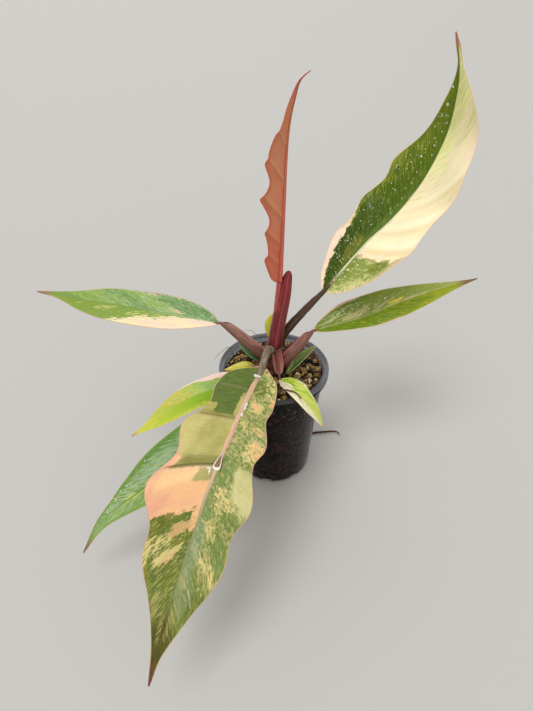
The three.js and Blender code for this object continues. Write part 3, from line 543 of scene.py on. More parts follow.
leafLooks = {
    "front": {
        "slot": "marbled_leaf", "gloss": 0.4, "streaks": 0.15, "right": ("566a34", "5f6c2e"),
        "left": ("5c783e", "62702e"), "under": "8d8f6a", "margin": ("d6ac90", 0.75),
        "tip": ("6e3e28", 0.96), "rib": ("dcb092", "828c5a"), "ribFade": (0.28, 0.62),
        "ribStart": ("a98a6c", 0.07),
        "layers": {
            "khaki": {"colours": ("bab06e", "aba35e"), "edge": (0.9, 0.8, 2, 0.25), "calm": 0.3, "marks": [
                (0.3, 0.5, 0.082, 0.62), (0.205, 0.92, 0.02, 0.2), (0.16, 0.1, 0.05, 0.08)]},
            "khakiLight": {"colours": ("d0c280", "cabd7a"), "edge": (1.0, 2.0, 3, 3.0), "share": 0.7,
                "marks": [(0.29, 0.82, 0.045, 0.22), (0.34, 0.85, 0.02, 0.2, 1)]},
            # painted shade along the khaki's side of the creases at 0.203 and 0.358
            "khakiCreaseShade": {"colours": ("888648", "7f7d42"), "edge": (1.0, 2.0, 4, 2.6), "share": 0.9,
                "marks": [(0.378, 0.4, 0.024, 0.42), (0.212, 0.4, 0.008, 0.5, 0.5)]},
            "peach": {"colours": ("ecb985", "eab58a"), "edge": (0.7, 0.9, 2, 0.25), "calm": 0.65, "marks": [
                (0.462, 0.5, 0.052, 0.75), (0.41, 1.0, 0.018, 0.17), (0.49, 0.3, 0.033, 0.36),
                (0.53, 0.04, 0.03, 0.1)]},
            # a painted highlight on the peach zone's bulge
            "peachPaintedHighlight": {"colours": ("fdd8a2", "facf96"), "edge": (1.0, 2.0, 3, 2.6), "share": 0.6, "calm": 0.3,
                "marks": [(0.425, 0.5, 0.016, 0.3), (0.45, 0.75, 0.012, 0.2, 1)]},
            "blush": {"colours": ("e8aa8e", "de9c84"), "edge": (1.5, 2.0, 3, 3.0),
                "share": 0.7, "calm": 0.3, "marks": [(0.47, 1.02, 0.07, 0.14), (0.53, 0.85, 0.02, 0.3, 2),
                                                     (0.515, 0.55, 0.008, 0.3, 0.6)]},
            "olive": {"colours": ("a8a068", "9c995e"), "edge": (1.2, 0.9, 3, 0.7), "share": 0.9, "marks": [
                (0.4, 0.17, 0.022, 0.17)]},
            "scar": {"colours": ("f4f0e6", "f8f4ea"), "edge": (0.3, 0.8, 1, 0.25), "marks": [
                (0.391, 0.13, 0.009, 0.024), (0.384, 0.16, 0.004, 0.05)]},
            "middle": {"colours": ("8a9656", "98a15e"), "edge": (3.0, 0.8, 1.5, 1.3), "share": 0.7,
                "marks": [(0.3, -0.5, 0.32, 0.7, 0.4), (0.66, -0.45, 0.2, 0.7, -0.7)]},
            "mottle": {"colours": ("d2ba86", "c2b478"), "edge": (2.6, 0.7, 1.4, 0.7), "share": 0.7,
                "marks": [(0.3, -0.5, 0.32, 0.7, -0.25), (0.7, -0.45, 0.16, 0.6, -1.3)]},
            "lowMottle": {"colours": ("b0ac66", "a2a45c"), "edge": (3.0, 0.8, 1.6, 0.9), "share": 0.75,
                "marks": [(0.71, 0.5, 0.13, 0.7, -0.5), (0.75, 0.45, 0.025, 0.3, 0.5),
                          (0.7, 0.05, 0.02, 0.1, 0.5)]},
            "ochre": {"colours": ("8c8426", "86842e"), "edge": (1.2, 2.0, 3, 2.0), "share": 0.75, "marks": [
                (0.68, 0.98, 0.06, 0.12, 1.5)]},
            "lowDark": {"colours": ("4c5c20", "566628"), "edge": (3.0, 0.8, 3, 0.9), "share": 0.7,
                "marks": [(0.73, 0.4, 0.12, 0.7, -1.0), (0.8, -0.5, 0.08, 0.6, -1.2)]},
            "leafGreen": {"colours": ("5c7838", "668040"), "edge": (2.2, 0.8, 1.6, 0.9), "share": 0.75,
                "marks": [(0.46, -0.13, 0.1, 0.14, 0.5), (0.36, -0.3, 0.03, 0.25, 0.4),
                          (0.59, -0.72, 0.025, 0.3, 1.2), (0.5, -0.6, 0.02, 0.25, 0.2)]},
            "pale": {"colours": ("cbc388", "d0c790"), "edge": (1.6, 0.9, 2, 1.4),
                "share": 0.85, "calm": 0.4, "marks": [(0.412, -0.82, 0.045, 0.33),
                                                      (0.47, -0.86, 0.02, 0.2, 0.2)]},
            "cream": {"colours": ("e0ca88", "cfbf7c"), "edge": (2.4, 0.8, 1.5, 0.6),
                "share": 0.85, "calm": 0.4, "marks": [(0.05, -0.85, 0.05, 0.25, -0.2),
                                                      (0.15, -0.45, 0.02, 0.25, 0.6),
                                                      (0.3, -0.85, 0.03, 0.3, 0.5),
                                                      (0.22, -0.3, 0.012, 0.15, 0.3),
                                                      (0.455, -0.4, 0.018, 0.2, 0.2),
                                                      (0.482, -0.3, 0.01, 0.12, 0.1),
                                                      (0.545, -0.36, 0.015, 0.18, 0.3),
                                                      (0.637, -0.42, 0.009, 0.12, 0.2),
                                                      (0.662, -0.76, 0.012, 0.13, 0.3),
                                                      (0.655, 0.97, 0.03, 0.08, 0.2),
                                                      (0.64, 0.45, 0.02, 0.27, 2.6),
                                                      (0.612, 0.62, 0.012, 0.2, 0.4),
                                                      (0.7, -0.3, 0.02, 0.2, -1.0),
                                                      (0.6, 0.9, 0.02, 0.1, 0.1)]},
            "spot": {"colours": ("eab878", "e8b48c"), "edge": (2.2, 0.7, 1.3, 0.6), "share": 0.8, "marks": [
                (0.15, -0.42, 0.012, 0.14, 0.5), (0.115, -0.94, 0.014, 0.1, 0.5),
                (0.29, -0.85, 0.02, 0.2, 0.4), (0.23, -0.75, 0.01, 0.14, 0.1),
                (0.655, 0.38, 0.008, 0.12, 1)]},
            "tanPatch": {"colours": ("d3a875", "cc9f6e"), "edge": (1.6, 0.8, 2, 0.4), "share": 0.9,
                "marks": [(0.56, 0.27, 0.016, 0.22, 1.4)]},
            "green": {"colours": ("59641e", "6a7426"), "edge": (1.9, 0.7, 2, 0.5), "share": 0.85, "marks": [
                (0.575, 0.78, 0.02, 0.28), (0.534, 0.37, 0.009, 0.2, 0.9), (0.605, 0.3, 0.01, 0.3, 0.5),
                (0.7, 0.2, 0.03, 0.25, 0.3), (0.07, -0.3, 0.03, 0.25, 0.5), (0.5, 0.1, 0.006, 0.03, 0.8)]},
            "brown": {"colours": ("4e4c1a", "42381a"), "edge": (1.4, 1.5, 5, 3.0), "share": 0.95, "marks": [
                (0.94, 0.2, 0.15, 3.0), (0.94, -0.2, 0.15, 3.0)]},
            "fleck": {"colours": ("b4a868", "a49858"), "edge": (2.4, 0.6, 5, 0.7), "share": 0.75, "marks": [
                (0.815, -0.33, 0.035, 0.12, 0.3), (0.835, 0.2, 0.035, 0.12, 0),
                (0.785, 0.68, 0.03, 0.16, 0.2), (0.7, -0.12, 0.02, 0.1, 0.4), (0.75, -0.5, 0.1, 0.6, -1.5),
                (0.6, 0.5, 0.06, 0.6, -1.4)]},
            # sheen here is a painted reflection of glare in the valley beside the midrib
            "sheen": {"colours": ("8a9c7c", "8fa080"), "edge": (2.4, 0.9, 3, 3.0), "share": 0.5, "marks": [
                (0.62, -0.14, 0.09, 0.16), (0.73, -0.3, 0.05, 0.3, 1)]},
        },
    },
    "upper_right": {
        "slot": "half_cream_leaf", "gloss": 0.38, "streaks": 0.14, "right": ("869648", "a9b45c"),
        "left": ("284400", "667c1a"), "under": "a9ae7c", "margin": ("f0cfb0", 0.75),
        "tip": ("c87a62", 0.96), "rib": ("dcdab4", "b5bd80"), "ribStart": ("8a7858", 0.1),
        "layers": {
            "patchPale": {"colours": ("d6d69a", "c4ca84"), "edge": (2.4, 0.8, 6, 1.0), "share": 0.75,
                "marks": [(0.11, 0.45, 0.07, 0.5, -1.0), (0.05, 0.75, 0.045, 0.25, 0.6),
                          (0.2, 0.3, 0.02, 0.2, 0)]},
            "patchDark": {"colours": ("68781e", "727e2a"), "edge": (1.6, 0.9, 5, 1.8), "share": 0.85,
                "marks": [(0.185, 0.84, 0.025, 0.22, 1.5), (0.12, 0.98, 0.03, 0.12, 0.5),
                          (0.1, 0.12, 0.09, 0.1, 0.3)]},
            "strip": {"colours": ("4e6c20", "5a7830"), "edge": (1.0, 0.9, 5, 2.0), "share": 0.8, "marks": [
                (0.45, -0.06, 0.5, 0.1)]},
            "cream": {"colours": ("feefc0", "fce9c6"), "edge": (0.8, 1.3, 4, 0.25), "calm": 0.6, "marks": [
                (0.665, 0.5, 0.395, 0.8)]},
            "blush": {"colours": ("fbdcb8", "f8d4b4"), "edge": (1.5, 2.0, 2, 3.0), "share": 0.6, "marks": [
                (0.2, 0.5, 0.014, 0.6, 2), (0.4, 1.0, 0.2, 0.12)]},
            # painted shade and painted highlight across the soft folds of the cream half
            "foldPaintedShade": {"colours": ("d4b878", "dcc084"), "edge": (0.8, 3.0, 6, 2.6), "share": 0.55,
                "marks": [(0.335, 0.62, 0.009, 0.42, 0.6), (0.5, 0.7, 0.008, 0.3, 0.4),
                          (0.235, 0.6, 0.007, 0.4, 0.2)]},
            "foldPaintedHighlight": {"colours": ("fffbe0", "fff6cc"), "edge": (0.8, 3.0, 6, 3.0), "share": 0.7,
                "marks": [(0.375, 0.6, 0.014, 0.4, 1.5), (0.53, 0.7, 0.01, 0.3, 1),
                          (0.27, 0.6, 0.01, 0.4, 1)]},
            "sliver": {"colours": ("ffe0c8", "fad8bc"), "edge": (1.5, 0.9, 1.5, 0.25), "calm": 0.5,
                "marks": [(0.06, -0.95, 0.06, 0.24), (0.14, -0.98, 0.06, 0.26), (0.2, -1.02, 0.04, 0.14)]},
            "bronze": {"colours": ("8a8638", "7c7c30"), "edge": (1.8, 0.9, 2, 1.4), "share": 0.55,
                "marks": [(0.17, -0.25, 0.05, 0.12, 0.8)]},
            "wash": {"colours": ("fffcb6", "faf8b0"), "edge": (3.0, 1.5, 6, 5.0), "share": 1.0, "marks": [
                (0.86, 0.4, 0.16, 0.6), (0.62, 0.12, 0.1, 0.16)]},
            "lime": {"colours": ("c2ce68", "ccd67c"), "edge": (2.8, 0.6, 9, 0.9), "share": 0.5, "marks": [
                (0.8, 0.14, 0.17, 0.3, 0.2), (0.88, 0.3, 0.1, 0.36, 0.3), (0.6, 0.2, 0.15, 0.3, -1.0),
                (0.72, 0.7, 0.03, 0.3, 0.2)]},
            "streak": {"colours": ("a3ad4c", "8c9a38"), "edge": (2.8, 0.5, 5, 0.9), "share": 0.6, "marks": [
                (0.68, -0.8, 0.2, 0.35, -0.7), (0.49, -0.95, 0.07, 0.14, 0.5), (0.3, -0.5, 0.3, 0.6, -1.6),
                (0.34, -0.97, 0.07, 0.1, 0.3)]},
            "fleck": {"colours": ("dcd08c", "e3d69c"), "edge": (2.4, 0.6, 2, 0.5), "share": 0.85, "marks": [
                (0.07, 0.6, 0.07, 0.5, -1.6), (0.05, 0.86, 0.035, 0.12, 0.4)]},
        },
    },
    "right": {
        "slot": "green_leaf", "gloss": 0.36, "streaks": 0.16, "right": ("68800e", "8a961e"),
        "left": ("6b7e2c", "88963e"), "under": "8fa070", "margin": ("e0c0a6", 0.7), "tip": ("7c5c40", 0.91),
        "rib": ("b0b070", "d3c4a0"),
        "layers": {
            "dark": {"colours": ("4c7020", "486a1c"), "edge": (1.8, 0.8, 4, 1.2), "share": 0.8, "marks": [
                (0.22, -0.7, 0.07, 0.25), (0.3, 0.4, 0.25, 0.4, -0.3), (0.6, 0.3, 0.1, 0.3, 0)]},
            "pale": {"colours": ("b9b084", "c6b48c"), "edge": (2.2, 0.7, 4, 0.8), "share": 0.75, "marks": [
                (0.27, -0.22, 0.07, 0.18, 1.2), (0.13, -0.5, 0.035, 0.2, 0), (0.42, -0.4, 0.1, 0.2, -0.8),
                (0.85, -0.2, 0.05, 0.3, 0.3), (0.68, -0.07, 0.2, 0.08, 0.9)]},
            "flecks": {"colours": ("d8d6b4", "c8cca0"), "edge": (2.6, 0.32, 4, 0.4), "share": 0.7,
                "marks": [(0.13, -0.4, 0.08, 0.35, -0.7), (0.4, -0.5, 0.4, 0.5, -1.6),
                          (0.3, 0.5, 0.3, 0.5, -2.0)]},
            "yellow": {"colours": ("d9c23c", "c8bc50"), "edge": (1.4, 0.6, 4, 0.6), "marks": [
                (0.53, -0.2, 0.04, 0.1, 0.6), (0.45, 0.4, 0.3, 0.6, -1.1)]},
            "pink": {"colours": ("dcb8a6", "d6a898"), "edge": (0.6, 0.8, 4, 0.6), "marks": [
                (0.1, -1, 0.12, 0.12), (0.46, 1, 0.05, 0.1)]},
        },
    },
    "left": {
        "slot": "green_leaf", "gloss": 0.38, "right": ("5c8444", "7c9e50"), "left": ("7a984a", "88a04a"),
        "under": "8fa070", "margin": ("d9b8a0", 0.7), "tip": ("a27264", 0.95), "rib": ("b6c490", "a9b878"),
        "layers": {
            "lime": {"colours": ("8aa84c", "93b050"), "edge": (1.8, 1.0, 5, 2.0), "share": 0.8, "marks": [
                (0.4, 0.5, 0.08, 0.5, 1.5), (0.72, 0.5, 0.14, 0.6, 1)]},
            "grey": {"colours": ("9ab48c", "a6bd98"), "edge": (3.0, 0.5, 5, 1.4), "share": 0.5, "marks": [
                (0.35, 0.5, 0.35, 0.6, -0.6), (0.3, 0.1, 0.3, 0.1, 0.2)]},
            "flecks": {"colours": ("d4dcc0", "c4d0a8"), "edge": (2.8, 0.3, 4, 0.4), "share": 0.6, "marks": [
                (0.2, 0.5, 0.2, 0.6, -1.2), (0.6, 0.5, 0.25, 0.6, -1.6), (0.2, 0.92, 0.2, 0.1, -0.4)]},
            "tan": {"colours": ("dcc39a", "cdb48c"), "edge": (1.8, 0.5, 1.6, 0.35), "marks": [
                (0.245, 0.22, 0.028, 0.09, 0.9), (0.25, 1, 0.022, 0.09), (0.39, 0.85, 0.024, 0.09, 0.4)]},
            "cream": {"colours": ("f3e3b6", "f2d4c0"), "edge": (1.6, 0.8, 2.5, 0.35), "marks": [
                (0.15, -0.6, 0.2, 0.55), (0.37, -0.78, 0.17, 0.34), (0.36, -0.45, 0.07, 0.12, 0.2)]},
            "yellow": {"colours": ("cdd076", "dfdc94"), "edge": (2.2, 0.5, 4, 0.5), "share": 0.75,
                "marks": [(0.64, -0.25, 0.03, 0.14, 0), (0.4, -0.3, 0.08, 0.15, -0.3),
                          (0.6, -0.3, 0.4, 0.9, -1.5), (0.75, 0.5, 0.2, 0.6, -1.3)]},
        },
    },
    "lower_left": {
        "slot": "green_leaf", "gloss": 0.42, "streaks": 0.08, "right": ("86ac50", "b8c24e"),
        "left": ("74a41e", "b4c440"), "under": "a2b070", "margin": ("e3caa6", 0.6), "tip": ("c08a68", 0.96),
        "rib": ("a9c45a", "cccc50"),
        "layers": {
            "grey": {"colours": ("a9c07c", "b5c68c"), "edge": (2.2, 0.5, 4, 1.0), "share": 0.6, "marks": [
                (0.4, 0.5, 0.2, 0.5, -0.4)]},
            "yellow": {"colours": ("cfc84c", "d8d05c"), "edge": (2.4, 0.45, 3, 0.6), "share": 0.8,
                "marks": [(0.55, 0.6, 0.12, 0.5, -0.4), (0.86, 0.3, 0.12, 0.7, 0.3),
                          (0.6, -0.9, 0.3, 0.16, 0.3), (0.86, -0.5, 0.12, 0.6, 0.2)]},
            "tan": {"colours": ("d2b95c", "c8ae52"), "edge": (2.2, 0.7, 1.6, 0.7), "share": 0.7, "marks": [
                (0.53, 0.36, 0.09, 0.3, -0.1), (0.6, 0.85, 0.14, 0.2, 0.1)]},
            "pink": {"colours": ("f4ded4", "f0d0c4"), "edge": (0.6, 0.7, 3, 0.4), "marks": [
                (0.2, 1, 0.2, 0.4), (0.4, 1.02, 0.12, 0.14)]},
        },
    },
    "hanging_left": {
        "slot": "green_leaf", "gloss": 0.34, "streaks": 0.12, "right": ("5c8840", "6c9046"),
        "left": ("709842", "7a9a4a"), "under": "8fa070", "margin": ("b0b070", 0.5), "tip": ("8a6050", 0.94),
        "rib": ("c0c868", "b5bd78"),
        "layers": {
            "sheen": {"colours": ("a8c0a0", "bccdb2"), "edge": (2.6, 0.6, 6, 2.0), "share": 0.6, "marks": [
                (0.35, 0.3, 0.2, 0.24, 1.2), (0.5, 0.5, 0.35, 0.2, 0.4), (0.6, 0.2, 0.3, 0.14, 0.6),
                (0.6, -0.4, 0.25, 0.3, -0.4)]},
            "yellow": {"colours": ("d0cf6a", "c3c860"), "edge": (1.8, 0.5, 5, 0.6), "share": 0.8, "marks": [
                (0.5, 0.05, 0.04, 0.08, 0.6), (0.64, 0.06, 0.03, 0.1, 0.8), (0.62, -0.08, 0.05, 0.07, 0.6),
                (0.7, -0.4, 0.25, 0.5, -1.2), (0.7, 0.5, 0.25, 0.5, -1.0)]},
        },
    },
    "new": {
        "slot": "red_new_leaf", "gloss": 0.34, "right": ("d4745e", "d08c6c"), "left": ("c06450", "bc7852"),
        "under": "bc7050", "margin": ("d2685e", 1.2), "tip": ("c0605a", 0.9), "rib": ("c65a4c", "bd6850"),
        "layers": {
            "tan": {"colours": ("cc8a6c", "c89272"), "edge": (2.0, 1.6, 4, 3.0), "share": 0.6, "marks": [
                (0.33, 0.35, 0.06, 0.4), (0.45, 0.35, 0.05, 0.4), (0.6, 0.3, 0.06, 0.4)]},
            "flush": {"colours": ("cc6055", "c2544c"), "edge": (1.2, 1.5, 3, 2.0), "share": 0.7, "marks": [
                (0.1, 0.9, 0.12, 0.4, 0.6), (0.4, 0.98, 0.3, 0.16, 0.4), (0.08, 0.3, 0.1, 0.5, 0.2)]},
        },
    },
    "small_back": {
        "slot": "yellow_leaf", "gloss": 0.42, "right": ("c6c438", "cac63e"), "left": ("c6c438", "cac63e"),
        "under": "b0b060", "margin": ("d0c860", 0.4), "tip": ("b0a050", 0.95), "rib": ("b9c050", "c0c060"),
        "layers": {
            "cream": {"colours": ("e2d9a0", "d9cc86"), "edge": (0.8, 1.0, 4, 0.25), "marks": [
                (0.5, 0.9, 0.3, 0.12)]},
        },
    },
    "small_left": {
        "slot": "small_green_leaf", "gloss": 0.34, "right": ("3f7040", "4d7c48"),
        "left": ("4d7c4a", "5a8850"), "under": "7a9468", "margin": ("9fb388", 0.4), "tip": ("8a9a60", 0.95),
        "rib": ("9fbb8c", "a8c090"),
        "layers": {
            "sheen": {"colours": ("9fb9a0", "b4c8b0"), "edge": (1.0, 0.7, 6, 0.25), "marks": [
                (0.5, -0.5, 0.5, 0.4, -0.5)]},
        },
    },
    "small_front_left": {
        "slot": "yellow_leaf", "gloss": 0.42, "right": ("c4c23c", "cfc548"), "left": ("b9bb38", "c9c144"),
        "under": "bcb65c", "margin": ("ded27c", 0.4), "tip": ("c9a860", 0.95), "rib": ("d6cf70", "d6cf70"),
        "layers": {
            "pale": {"colours": ("e6dfa0", "dcd48c"), "edge": (1.0, 0.8, 5, 0.25), "marks": [
                (0.7, 0.3, 0.3, 0.5, 0), (0.5, -0.9, 0.4, 0.2, 0)]},
        },
    },
    "small_right": {
        "slot": "small_green_leaf", "gloss": 0.36, "right": ("36561a", "74864a"),
        "left": ("446428", "7e8e58"), "under": "86a060", "margin": ("b9bf8c", 0.35),
        "tip": ("b5a070", 0.95), "rib": ("c0c890", "c8cfa0"),
        "layers": {
            "pale": {"colours": ("98a468", "aca878"), "edge": (1.2, 0.8, 6, 0.25), "marks": [
                (0.6, -0.5, 0.4, 0.5, -0.2), (0.8, 0.3, 0.15, 0.4, 0)]},
        },
    },
    "small_front": {
        "slot": "lime_leaf", "gloss": 0.42, "right": ("efe9c8", "ece6b8"), "left": ("93b420", "c2cf56"),
        "under": "c3cc80", "margin": ("e9e3b4", 0.6), "tip": ("dcae6a", 0.96), "rib": ("dfe0a8", "e3dfa0"),
        "layers": {
            "lime": {"colours": ("c5d05c", "d5d878"), "edge": (1.6, 1.0, 5, 0.25), "marks": [
                (0.6, -0.5, 0.4, 0.5, 0.1), (0.35, -0.9, 0.2, 0.2, 0.4)]},
            "cream": {"colours": ("f2ecd4", "eee4c4"), "edge": (0.8, 0.9, 4, 0.25), "marks": [
                (0.18, -0.1, 0.1, 0.12), (0.5, -1.0, 0.35, 0.12)]},
            "blush": {"colours": ("e3c9b4", "d8b8a0"), "edge": (1.2, 1.1, 4, 0.25), "marks": [
                (0.12, 0.6, 0.12, 0.5, 0.2), (0.46, 0.2, 0.1, 0.2, 0)]},
        },
    },
}

blade = {
    "thickness": 0.5, "narrowest": 0.4,
    "lobeLength": 0.12,      # share of the length that bends back at the stalk
    "leftWavePhase": 1.5,
    "columnPower": 1.35,     # crowds the grid's columns towards the midrib
    "creaseSlack": 0.4,      # a crease falls off this much slower on its far side
    "creaseRise": 0.35,      # and deepens this fast away from the midrib
    "hemWidth": 2.6, "fullHem": 8.0,
    "steepnessPlace": 0.55,  # where a leaf's vein slope is taken for its markings
    "fieldLimit": 8.0,
    "halfGap": 7,            # keeps the noise of the two halves apart
}

rib = {
    "rise": 0.42, "flatness": 0.66, "stops": 41, "sides": 12, "rows": 60, "fade": (0.1, 0.8),
    "tipFade": 0.1, "startFade": 0.3, "dark": (0.05, 0.04, 0.01, 1), "darkShare": 0.3,
    "lines": {"scale": 1.0, "stretch": (1.6, 0.08, 0.0), "range": (0.35, 0.6)}, "bump": (0.4, 0.2),
}

leafPaint = {
    "greenFade": (0.15, 0.85), "halfBlend": 0.5, "lively": 0.1,
    "streaks": {"scale": 1.3, "detail": 4, "roughness": 0.65, "stretch": (0.08, 1.0, 1.0),
                "range": (0.32, 0.68)},
    "dark": (0, 0, 0, 1), "light": (0.75, 0.8, 0.12, 1), "lightShare": 0.5,
    "blotches": {"scale": 0.09, "range": (0.35, 0.65)},
    "edgeScale": 0.45, "edgeNoise": (4, 0.62), "edgeGain": 4.5,
    "marginShare": 0.8, "marginFade": 0.4, "tipFade": (-0.05, 0.04), "underShare": 0.4,
    "underRoughness": 0.18, "coat": 0.03, "ribHeight": 0.35, "ribStray": 6.0, "streakHeight": 0.8,
    "cells": {"scale": 3.5, "detail": 2}, "cellHeight": 0.25, "bump": (0.35, 0.35),
}

# painted shade in each crease's fold and painted highlight on the band beyond it
creaseShadeAndHighlight = {
    "across": (0.2, 0.8), "margin": (0.5, 5.0),
    "darkPlace": 0.7, "darkRange": (1.3, 0.1), "dark": (0.08, 0.03, 0.01, 1), "darkShare": 0.75,
    "lightPlace": 2.8, "lightRange": (3.0, 0.2), "light": (0.85, 0.68, 0.45, 1), "lightShare": 0.2,
}


def veinSlope(shape, t):
    base, tip, power, _ = shape["veins"]
    return base + (tip - base) * t ** power


def veinSteepness(shape):
    return math.hypot(1, veinSlope(shape, blade["steepnessPlace"]))


def faceAt(shape, t):
    return np.stack([spreadAt(part, t) for part in np.array(shape["face"], float).T], -1)


def bladeSurface(shape, t, s):
    # the middle surface of a blade at shares t along and s across, and what its markings are drawn by
    line = lineThrough(shape["path"])
    length = line[1][-1]
    tangent = tangentAt(line, t)
    right = unit(np.cross(tangent, faceAt(shape, t)))
    normal = np.cross(right, tangent)
    share, side = np.abs(s), np.sign(s)
    width = np.where(s < 0, profileAt(shape["left"], t), profileAt(shape["right"], t))
    width = np.maximum(blade["narrowest"], width)
    fold = math.radians(shape["fold"])
    phase = np.where(s < 0, blade["leftWavePhase"], 0)
    wave = shape["waveHeight"] * np.sin(math.pi * t) * np.sin(2 * math.pi * shape["waves"] * t + phase)
    lift = width * (share * math.sin(fold) - shape["curl"] * share ** 2) + wave * share ** 2
    lobe = shape["backLobe"] * np.maximum(0, 1 - t / blade["lobeLength"]) ** 2 * share ** 2
    vein = t * length - veinSlope(shape, t) * width * share
    points = pointAt(line, t) + right * (side * width * share * math.cos(fold))[:, None]
    points += normal * lift[:, None] - tangent * lobe[:, None]
    halfNormal = normal * math.cos(fold) - right * (side * math.sin(fold))[:, None]
    for at, creaseSide, depth, spread, _ in shape["creases"]:
        past = vein - at * length
        dip = depth * np.exp(-(past / spread * np.where(past > 0, blade["creaseSlack"], 1)) ** 2)
        dip = np.where(side == creaseSide, dip * share ** blade["creaseRise"], 0)
        points -= halfNormal * dip[:, None]
    hem = shape["hem"] * np.clip(1 - width * (1 - share) / blade["hemWidth"], 0, 1) ** 2
    hem = hem * share * np.clip(width / blade["fullHem"], 0, 1)
    points -= halfNormal * hem[:, None]
    return {"points": points, "normal": halfNormal, "width": width, "vein": vein, "length": length}


def markField(shape, surface, t, s, marks):
    # how far inside the marks each point is, in millimetres, and negative outside
    limit = blade["fieldLimit"]
    field = np.full(len(t), -limit)
    for at, across, halfLength, halfWidth, *level in marks:
        side = 1 if across >= 0 else -1
        width = np.interp(at, *np.array(shape["right" if side > 0 else "left"]).T)
        middle = at * surface["length"] - veinSlope(shape, at) * width * abs(across)
        along = (surface["vein"] - middle) / (halfLength * surface["length"])
        sideways = (s - across) / halfWidth
        distance = (np.abs(along) ** 4 + np.abs(sideways) ** 4) ** 0.25
        depth = (1 - distance) * min(halfLength * surface["length"], halfWidth * width)
        depth = np.where(np.sign(s) == side, depth, -limit)
        field = np.maximum(field, np.minimum(depth, level[0] if level else limit))
    return np.clip(field, -limit, limit)


def shadeCrease(tree, shape, colour, at, side, shading):
    # paints a thin line of shade in the fold and a band of painted highlight beyond it, both fading out at
    # the margin
    length = lineThrough(shape["path"])[1][-1]
    vein = splitVector(tree, readAttribute(tree, "veinPlace"))[1]
    across, edge, _ = splitVector(tree, readAttribute(tree, "leafPlace"))
    past = minus(tree, times(tree, vein, veinSteepness(shape)), at * length)
    fade = stepBetween(tree, across, *[side * stop for stop in creaseShadeAndHighlight["across"]])
    fade = times(tree, fade, stepBetween(tree, edge, *creaseShadeAndHighlight["margin"]), shading)
    for tone in ("dark", "light"):
        gap = doMath(tree, "ABSOLUTE", minus(tree, past, creaseShadeAndHighlight[tone + "Place"]))
        band = times(tree, stepBetween(tree, gap, *creaseShadeAndHighlight[tone + "Range"]), fade)
        share = creaseShadeAndHighlight[tone + "Share"]
        colour = mixColours(tree, times(tree, band, share), colour, creaseShadeAndHighlight[tone])
    return colour


def layerMask(tree, name, layer, place):
    # where the layer's marks are, with an edge that the noise makes ragged
    ragged, grain, pull, soft = layer["edge"]
    stray = noiseAt(tree, place, leafPaint["edgeScale"] / grain, *leafPaint["edgeNoise"],
                    stretch=(1 / pull, 1.0, 1.0))
    stray = times(tree, minus(tree, stray, 0.5), ragged * leafPaint["edgeGain"])
    field = readAttribute(tree, name, "Fac")
    mask = stepBetween(tree, doMath(tree, "ADD", field, stray), -soft, soft)
    return times(tree, mask, layer.get("share", 1.0))


def leafBumps(tree, shape, place, streaks, blotches):
    ripple = times(tree, splitVector(tree, place)[1], 2 * math.pi / shape["veins"][3])
    ripple = doMath(tree, "ADD", ripple, times(tree, blotches, leafPaint["ribStray"]))
    ribs = times(tree, doMath(tree, "SINE", ripple), leafPaint["ribHeight"])
    fine = times(tree, streaks, leafPaint["streakHeight"])
    cells = times(tree, noiseAt(tree, place, **leafPaint["cells"]), leafPaint["cellHeight"])
    return doMath(tree, "ADD", doMath(tree, "ADD", ribs, fine), cells)


def leafMaterial(key, look, shape, under=False):
    settings = {
        "Roughness": look["gloss"] + (leafPaint["underRoughness"] if under else 0),
        "Specular IOR Level": 0.1,
        "Coat Weight": 0.0 if under else leafPaint["coat"],
        "Coat Roughness": 0.2,
        "Subsurface Weight": 0.12,
        "Subsurface Radius": (0.9, 1.0, 0.35),
        "Subsurface Scale": 0.0012,
    }
    material, tree = newMaterial(key + ("Underside" if under else "Upperside"), settings)
    place = readAttribute(tree, "veinPlace")
    across, edge, along = splitVector(tree, readAttribute(tree, "leafPlace"))
    towardsTip = stepBetween(tree, along, *leafPaint["greenFade"])
    halves = [mixColours(tree, towardsTip, *coloursOf(look[half])) for half in ("left", "right")]
    blend = leafPaint["halfBlend"]
    colour = mixColours(tree, stepBetween(tree, across, -blend, blend), *halves)
    streaks, lightStreaks = patternAt(tree, place, leafPaint["streaks"])
    blotches, patches = patternAt(tree, place, leafPaint["blotches"])
    lively = look.get("streaks", leafPaint["lively"])
    for name, layer in look["layers"].items():
        mask = layerMask(tree, name, layer, place)
        colour = mixColours(tree, mask, colour, mixColours(tree, patches, *coloursOf(layer["colours"])))
        if "calm" in layer:
            lively = times(tree, minus(tree, 1.0, times(tree, mask, layer["calm"])), lively)
    darker = mixColours(tree, lively, colour, leafPaint["dark"])
    lighter = mixColours(tree, times(tree, lively, leafPaint["lightShare"]), colour, leafPaint["light"])
    colour = mixColours(tree, lightStreaks, darker, lighter)
    # painted shade and painted highlight along the creases
    for at, side, _, _, shading in shape["creases"]:
        if shading:
            colour = shadeCrease(tree, shape, colour, at, side, shading)
    marginCode, marginWidth = look["margin"]
    margin = stepBetween(tree, edge, marginWidth, marginWidth * leafPaint["marginFade"])
    colour = mixColours(tree, times(tree, margin, leafPaint["marginShare"]), colour, linearOf(marginCode))
    tipCode, tipStart = look["tip"]
    tip = stepBetween(tree, along, *[tipStart + fade for fade in leafPaint["tipFade"]])
    colour = mixColours(tree, tip, colour, linearOf(tipCode))
    if under:
        colour = mixColours(tree, leafPaint["underShare"], colour, linearOf(look["under"]))
    height = leafBumps(tree, shape, place, streaks, blotches)
    return finishMaterial(material, colour, height, leafPaint["bump"])


